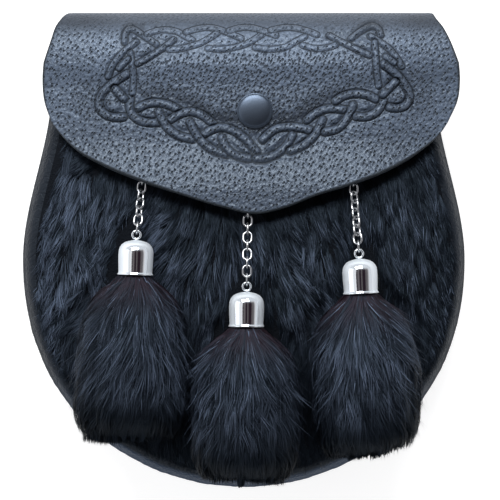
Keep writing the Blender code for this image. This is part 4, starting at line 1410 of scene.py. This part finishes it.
# %% [markdown]
# ## Chains and caps: a chain
# Each chain is a row of round wire links, each turned a quarter on the last. It starts at
# a bar under the flap and rises over the fur to the cap's eye. The links between its ends
# are twisted a little more, as in a chain that hangs. An Array modifier would keep them all
# on one straight line.
# %% Chains
# how far the first link is from the bar, and the last one from the eye
FIRST_LINK, LAST_LINK = 0.95, 3.0


def chain(side, drop, link, eye):
    """Links from the bar under the flap to the cap's eye."""
    bar, last = Vector(drop.bar), drop.links - 1
    run = eye - bar
    pitch = (run.length - FIRST_LINK - LAST_LINK) / last

    def place_at(length):
        part = length / run.length
        rise = float(smooth((part - 0.15) / 0.85))
        return Vector((bar.x + run.x * part, bar.y + run.y * part, bar.z + run.z * rise))

    parts = []
    for index in range(drop.links):
        length = FIRST_LINK + pitch * index
        along = place_at(length + pitch / 2) - place_at(length - pitch / 2)
        roll = 90.0 * (index + 1) + drop.twist * float(smooth(min(index, last - index) / 2))
        parts.append(copy_of(link, "link", stand_at(place_at(length)) @ aim(along, roll)))
    made = joined(f"chain_{side}", parts)
    keep_numbers(made.data, "wire", np.ones(len(made.data.vertices)))
    names = [f"link_{side}_{index + 1:02d}" for index in range(drop.links)]
    done(made, polished_metal, "chrome", *names)


print("links:", {side: drop.links for side, drop in DROPS.items()})

# %% [markdown]
# ## Chains and caps: the pieces
# Each cap is a hollow bell with a rolled lip and an eye on top. The lathe turns its wall
# inside and outside in one go. Solidify would do too, but not the rolled lip.
# %% Links and caps
LINK_LENGTH, LINK_WIDTH = 5.6, 4.3
CAP_HEIGHT, CAP_WALL, EYE_RISE, EYE_RADIUS = 14.4, 0.7, 2.3, 1.7
# radius and height: up the outside of the bell from its rolled lip
BELL = (
    (6.5, 0.3), (6.75, 0.02), (7.1, -0.08), (7.38, 0.02), (7.45, 0.25), (7.38, 0.5), (7.1, 0.75),
    (7.05, 1.2), (7.12, 2.6), (7.2, 4.2), (7.28, 6.0), (7.32, 7.8), (7.3, 9.2), (7.14, 10.4),
    (6.8, 11.4), (6.25, 12.3), (5.45, 13.1), (4.4, 13.7), (3.2, 14.1), (2.0, 14.36),
    (1.3, 14.48), (0.8, 14.54), (0.4, 14.56),
)

quarter = math.radians(90)
link = ring("link", LINK_LENGTH, LINK_WIDTH)
eye = ring("eye", 2 * EYE_RADIUS + WIRE, 2 * EYE_RADIUS + WIRE)
raised = Matrix.Translation((0, 0, (CAP_HEIGHT + EYE_RISE) * MM))
settle(eye, raised @ Matrix.Rotation(quarter, 4, "X"))
inner = [(radius - CAP_WALL, max(height - 0.6, 0.3)) for radius, height in BELL[8:20]]
cap = joined("cap", [turn("bell", [*reversed(inner), *BELL], 80), eye])
mouths = {}
for side, drop in DROPS.items():
    top, end = Vector(drop.cap), Vector(drop.end)
    lean = Vector((top.x - end.x, top.y - end.y, 0.0)).normalized()
    chain(side, drop, link, top + lean * EYE_RISE)
    mouths[side] = top - lean * CAP_HEIGHT
    upright = aim(lean, 0.0) @ Matrix.Rotation(-quarter, 4, "X")
    made = copy_of(cap, f"bell_{side}", stand_at(mouths[side]) @ upright)
    done(made, polished_metal, "chrome", f"cap_{side}")
    keep_edges(made, 45)
for spare in (link, cap):
    bpy.data.objects.remove(spare)

# %% [markdown]
# ## Tassels: their form
# A tassel is a bundle of long hair bound inside the cap. It swells below the cap, hangs
# down, lies on the fur and ends bluntly. A dark core fills it, so that nothing shows
# through. Hair alone would do, if there were ten times as much of it.
# %% Tassel's form
TASSEL_PARTS = (-0.06, 0.0, 0.04, 0.12, 0.24, 0.40, 0.58, 0.75, 0.88, 0.96)
TASSEL_WIDE = (5.2, 5.4, 9.4, 15.6, 20.2, 22.6, 23.8, 24.2, 23.4, 21.6)
TASSEL_THICK = (5.2, 5.4, 7.2, 9.4, 11.2, 12.2, 12.4, 12.0, 10.8, 8.6)
TASSEL_BELLY = (0.0, 0.0, 0.5, 1.2, 2.2, 3.2, 3.6, 3.2, 2.2, 0.0)
# how much shorter a tassel is cut on its right
SHORTER = {"left": 0.0, "middle": 0.0, "right": 0.085}


def tassel_place(side, part, angle, reach):
    """A place in a tassel: part down it, angle round it, reach 0 at its middle to 1."""
    drop, mouth = DROPS[side], np.array(mouths[side])
    run = np.array(drop.end) - mouth
    right = np.array((-run[1], run[0], 0.0)) / math.hypot(run[0], run[1])
    part = part * (1.0 - SHORTER[side] * np.maximum(np.cos(angle), 0.0) * np.minimum(reach, 1.0))
    wide = soft(part, TASSEL_PARTS, TASSEL_WIDE)
    wide = wide * (1.0 - drop.taper * np.clip(part - 0.4, 0.0, 1.0) / 0.6)
    thick = soft(part, TASSEL_PARTS, TASSEL_THICK)
    belly = soft(part, TASSEL_PARTS, TASSEL_BELLY)
    spots = mouth + part[..., None] * run + (wide * reach * np.cos(angle))[..., None] * right
    up = np.sin(angle)
    x, y = spots[..., 0], spots[..., 1]
    z = spots[..., 2] + reach * (thick * up + belly * np.maximum(up, 0.0))
    lowest = fur_z(x, y) + 0.3 + 0.5 * reach
    lies = smooth(-2.0 * up) * smooth(part / 0.10) * np.minimum(reach, 1.0)
    lying = np.maximum(z - lies * np.maximum(z - lowest, 0.0), lowest)
    return stack(x, y, np.where(np.abs(x) < half_width(y), lying, z))


def tassel_core(side):
    piece, u, v = add_sheet(f"tassel_core_{side}", 40, 26)
    around = 2 * math.pi * u
    ragged = 0.012 * np.sin(13.0 * around + 1.0) + 0.010 * np.sin(7.0 * around + 2.0)
    part = -0.03 + (0.99 + ragged) * v
    reach = 0.90 * np.minimum(1.0, 4.0 * v + 0.3) * np.sqrt(np.clip((1.0 - v) / 0.06, 0.0, 1.0))
    reach = np.where(v == 0.0, 0.0, reach)
    angle = 2 * math.pi * (1.0 - u) + 0.5 * math.pi
    set_points(piece, tassel_place(side, part, angle, reach))
    select_only(piece)
    bpy.ops.object.mode_set(mode="EDIT")
    bpy.ops.mesh.select_all(action="SELECT")
    bpy.ops.mesh.remove_doubles(threshold=0.01 * MM)
    bpy.ops.mesh.normals_make_consistent(inside=False)
    bpy.ops.object.mode_set(mode="OBJECT")
    return done(piece, undercoat, "fur", f"tassel_{side}")


print("a tassel is", round(2 * max(TASSEL_WIDE)), "mm wide at most")

# %% [markdown]
# ## Tassels: long hair
# Three kinds of hair make up a tassel. Long hair runs from the mouth of the cap to the end,
# drawn together in strands. It only grows round the side that shows: hair all round would
# be closer to the real tassel, but half of it would lie hidden on the fur.
# %% Long hair
LONG_LOCKS, LONG_FROM, LONG_ROUND = 34, -0.6, math.pi + 1.2


def tassel_long(chance, count, lean):
    """Long hair, from the mouth to the end, drawn together in strands."""
    s = np.linspace(0.0, 1.0, 8)
    angle = chance.uniform(LONG_FROM, LONG_FROM + LONG_ROUND, count)
    start, stop = chance.uniform(-0.03, 0.03, count), chance.uniform(0.86, 0.965, count)
    lock = np.floor((angle - LONG_FROM) / LONG_ROUND * LONG_LOCKS).astype(int)
    lock = np.clip(lock, 0, LONG_LOCKS - 1)
    middle = (lock + 0.5) / LONG_LOCKS * LONG_ROUND + LONG_FROM
    stop += chance.normal(0.0, 0.022, LONG_LOCKS)[lock]
    stop += 0.3 * abs(lean) * np.abs(np.cos(angle))
    part = start[:, None] + np.outer(stop - start, s)
    draw = chance.uniform(0.2, 0.8, count)[:, None] * smooth(part * 1.3 - 0.2)
    path_angle = angle[:, None] + (middle - angle)[:, None] * draw
    path_angle += np.outer(chance.normal(0.0, 0.05, count), s**2)
    reach = chance.uniform(0.80, 1.0, (count, 1))
    return part, path_angle, reach, 0.07 + 0.5 * chance.uniform(size=(count, 1)) ** 5


print("long hair is drawn into", LONG_LOCKS, "strands")

# %% [markdown]
# ## Tassels: short hair
# Short hair stands off the tassel all the way down, in locks that fan out, and some of it
# strays. It gives the tassel its rough outline. A hairy texture would be another way, but
# the outline would stay smooth.
# %% Short hair
# a lock's size round a tassel, in radians, and down it
SHORT_ROUND, SHORT_DOWN = 0.21, 0.07


def tassel_short(chance, count, lean):
    """Short hair all the way down. It stands off a little, in locks that fan out."""
    s = np.linspace(0.0, 1.0, 5)
    first, last = -0.75, math.pi + 0.75
    angle, start = chance.uniform(first, last, count), chance.uniform(-0.02, 0.86, count)
    round_it, down_it = np.arange(first, last, SHORT_ROUND), np.arange(0.0, 0.95, SHORT_DOWN)
    lock_angle, lock_part = np.meshgrid(round_it, down_it)
    lock_angle = (lock_angle + chance.uniform(-0.09, 0.09, lock_angle.shape)).ravel()
    lock_part = (lock_part + chance.uniform(-0.04, 0.04, lock_part.shape)).ravel()
    middles = lock_angle, lock_part
    lock, _lead = nearest_clump(angle, start, middles, SHORT_ROUND, SHORT_DOWN)
    locks = len(lock_angle)
    lift = chance.uniform(0.0, 1.0, locks)[lock] * chance.uniform(0.6, 1.0, count)
    longer = chance.uniform(0.85, 1.25, locks)[lock] * chance.uniform(0.75, 1.1, count)
    turned, tone = chance.normal(0.0, 0.12, locks)[lock], chance.uniform(-0.16, 0.16, locks)[lock]
    angle, strand_tone = strands(chance, angle, start, 0.04, 0.06, 0.50)
    part = start[:, None] + np.outer(np.minimum(0.19 * longer, 0.97 - start), s)
    fan = -(0.12 + 0.26 * (1.0 - start)) * np.sin(2.0 * angle) + turned + lean * np.sin(angle)
    draw = (lock_angle[lock] - angle) * chance.uniform(0.3, 0.8, count)
    path_angle = angle[:, None] + np.outer(fan, s) + np.outer(draw, s**1.4)
    path_angle += np.outer(chance.normal(0.0, 0.05, count), s)
    rise = np.array((0.0, 0.65, 0.95, 1.0, 0.85)) * smooth(part / 0.12 + 0.3)
    stray = (chance.uniform(size=count) < 0.14) & (np.sin(angle) > 0.25)
    reach = 0.92 + 0.15 * lift[:, None] * rise
    reach += np.outer(np.abs(chance.normal(0.0, 0.13, count)) * stray, s**2)
    tuft = np.sin(5.0 * angle + 9.0 * start + 2.0)
    tuft *= np.sin(11.0 * start + 3.0 * angle + 20.0 * lean)
    # lifted hair is painted lighter, a painted highlight; tone, tufts and strays vary it
    tone_and_painted_light = 0.66 * lift**1.8 - 0.02 + (tone + strand_tone)
    tone_and_painted_light += chance.normal(0.0, 0.16, count) + 0.3 * stray
    tone_and_painted_light *= 0.45 * (0.95 + 0.50 * tuft)
    # each hair painted dark at its root and lighter to its tip: painted shade and sheen
    return part, path_angle, reach, np.outer(tone_and_painted_light, (0.05, 0.45, 0.95, 1.2, 1.2))


print("short locks down a tassel:", math.ceil(0.95 / SHORT_DOWN))

# %% [markdown]
# ## Tassels: the blunt end
# A tassel is cut straight across, so its end shows the cut ends of the hair inside it. Long
# hair alone would leave a hollow tube there.
# %% Hair of the end
END_TUFT = 0.2


def tassel_end(chance, count, lean):
    """Hair that comes straight out of the blunt end."""
    s = np.linspace(0.0, 1.0, 5) ** 0.6
    angle = chance.uniform(0.0, 2 * math.pi, count)
    tuft = np.floor(angle / END_TUFT).astype(int)
    stop = 0.985 + chance.normal(0.0, 0.016, 32)[tuft] + chance.uniform(-0.015, 0.005, count)
    stop += np.where(np.cos(angle) * lean < 0.0, 0.2 * abs(lean), 0.0) * np.abs(np.cos(angle))
    part = 0.86 + np.outer(stop - 0.86, s)
    path_angle = angle[:, None] + np.outer(((tuft + 0.5) * END_TUFT - angle) * 0.8, s**2)
    reach = 0.97 * np.sqrt(chance.uniform(0.0, 1.0, count))[:, None] * (1.0 + 0.04 * s)
    # each hair painted darker at its root, as shade
    return part, path_angle, reach, np.outer(chance.uniform(0.0, 0.25, count), s)


# how it grows, how many there are, half width in mm, and how blunt the end is
KINDS = {
    "long": (tassel_long, 2200, 0.11, 2.2),
    "short": (tassel_short, 11400, 0.11, 2.2),
    "end": (tassel_end, 2800, 0.20, 4.0),
}
print("a tassel has", sum(count for _grow, count, *_ in KINDS.values()), "hairs")

# %% [markdown]
# ## Tassels: the pieces
# Every hair is a ribbon that lies flat round the tassel. Its colour has painted light in it:
# lighter on the upper side, with painted shade at the lower end, on the underside, near the
# cap and at each hair's root. Near the cap the fur is a little brown, as old dyed fur is
# where the light reaches it. Broad strips with a picture of hair would be another way, but
# their edges show from the side.
# %% Tassel's hair
# how much the hair drifts round the tassel, to the left when above nought
LEANS = {"left": 0.16, "middle": -0.03, "right": -0.10}


def tassel_hair(side, seed):
    chance = np.random.default_rng(seed)
    for kind, (grow, count, half, blunt) in KINDS.items():
        part, path_angle, reach, tone_and_painted_light = grow(chance, count, LEANS[side])
        s = np.linspace(0.0, 1.0, part.shape[1])
        drawn_in = 0.08 * smooth((part - 0.88) / 0.12) * chance.uniform(0.0, 1.0, (count, 1))
        paths = tassel_place(side, part, path_angle, reach * (1.0 - drawn_in))
        pointed = np.minimum(1.0, blunt * (1.0 - s))
        width = np.outer(half * chance.uniform(0.7, 1.3, count), pointed)
        flow = np.gradient(paths, axis=1)
        flow /= np.linalg.norm(flow, axis=2, keepdims=True)
        out = stack(np.cos(path_angle), 0.0, np.sin(path_angle))
        sides = np.cross(flow, out)
        sides /= np.linalg.norm(sides, axis=2, keepdims=True)
        roll = chance.normal(0.0, 0.3, (count, 1, 1))
        sides = (sides * np.cos(roll) + out * np.sin(roll)) * width[:, :, None]
        # painted shade at the lower end, near the cap and on the underside
        tone_and_painted_light = tone_and_painted_light * (1.0 - 0.95 * smooth((part - 0.66) / 0.22))
        tone_and_painted_light *= 0.30 + 0.70 * smooth(part / 0.34)
        tone_and_painted_light *= 0.45 + 0.55 * smooth(1.7 * np.sin(path_angle) + 0.1)
        light = (chance.uniform(size=(count, 1)) < 0.035) * (part < 0.55)
        tone_and_painted_light = np.clip(np.where(light, 0.75, tone_and_painted_light), 0.0, 1.0)
        brown = (1.0 - smooth(part / 0.30)) * (chance.uniform(size=(count, 1)) < 0.75) * ~light
        yield hair_piece(f"{kind}_hair_{side}", paths, sides, tone_and_painted_light, brown)


for seed, side in enumerate(DROPS, 30):
    tassel_core(side)
    done(joined(f"tassel_hair_{side}", list(tassel_hair(side, seed))), black_fur, "fur")

# %% [markdown]
# ## Solids that keep their shape
# The hidden tabs, the post, the belt loops and the front panel are right as they are. They
# only get the finish of the leather or the metal, because nothing more of them would show.
# %% Finishes on the solids
kept_leather = ["front_panel", "belt_loop_left", "belt_loop_right"]
kept_leather += [f"hanger_{side}" for side in DROPS]
for name in kept_leather:
    nodes[name].material_slots[0].material = black_leather
nodes["snap_post"].material_slots[0].material = gunmetal
print("kept with a new finish:", kept_leather, "and snap_post")
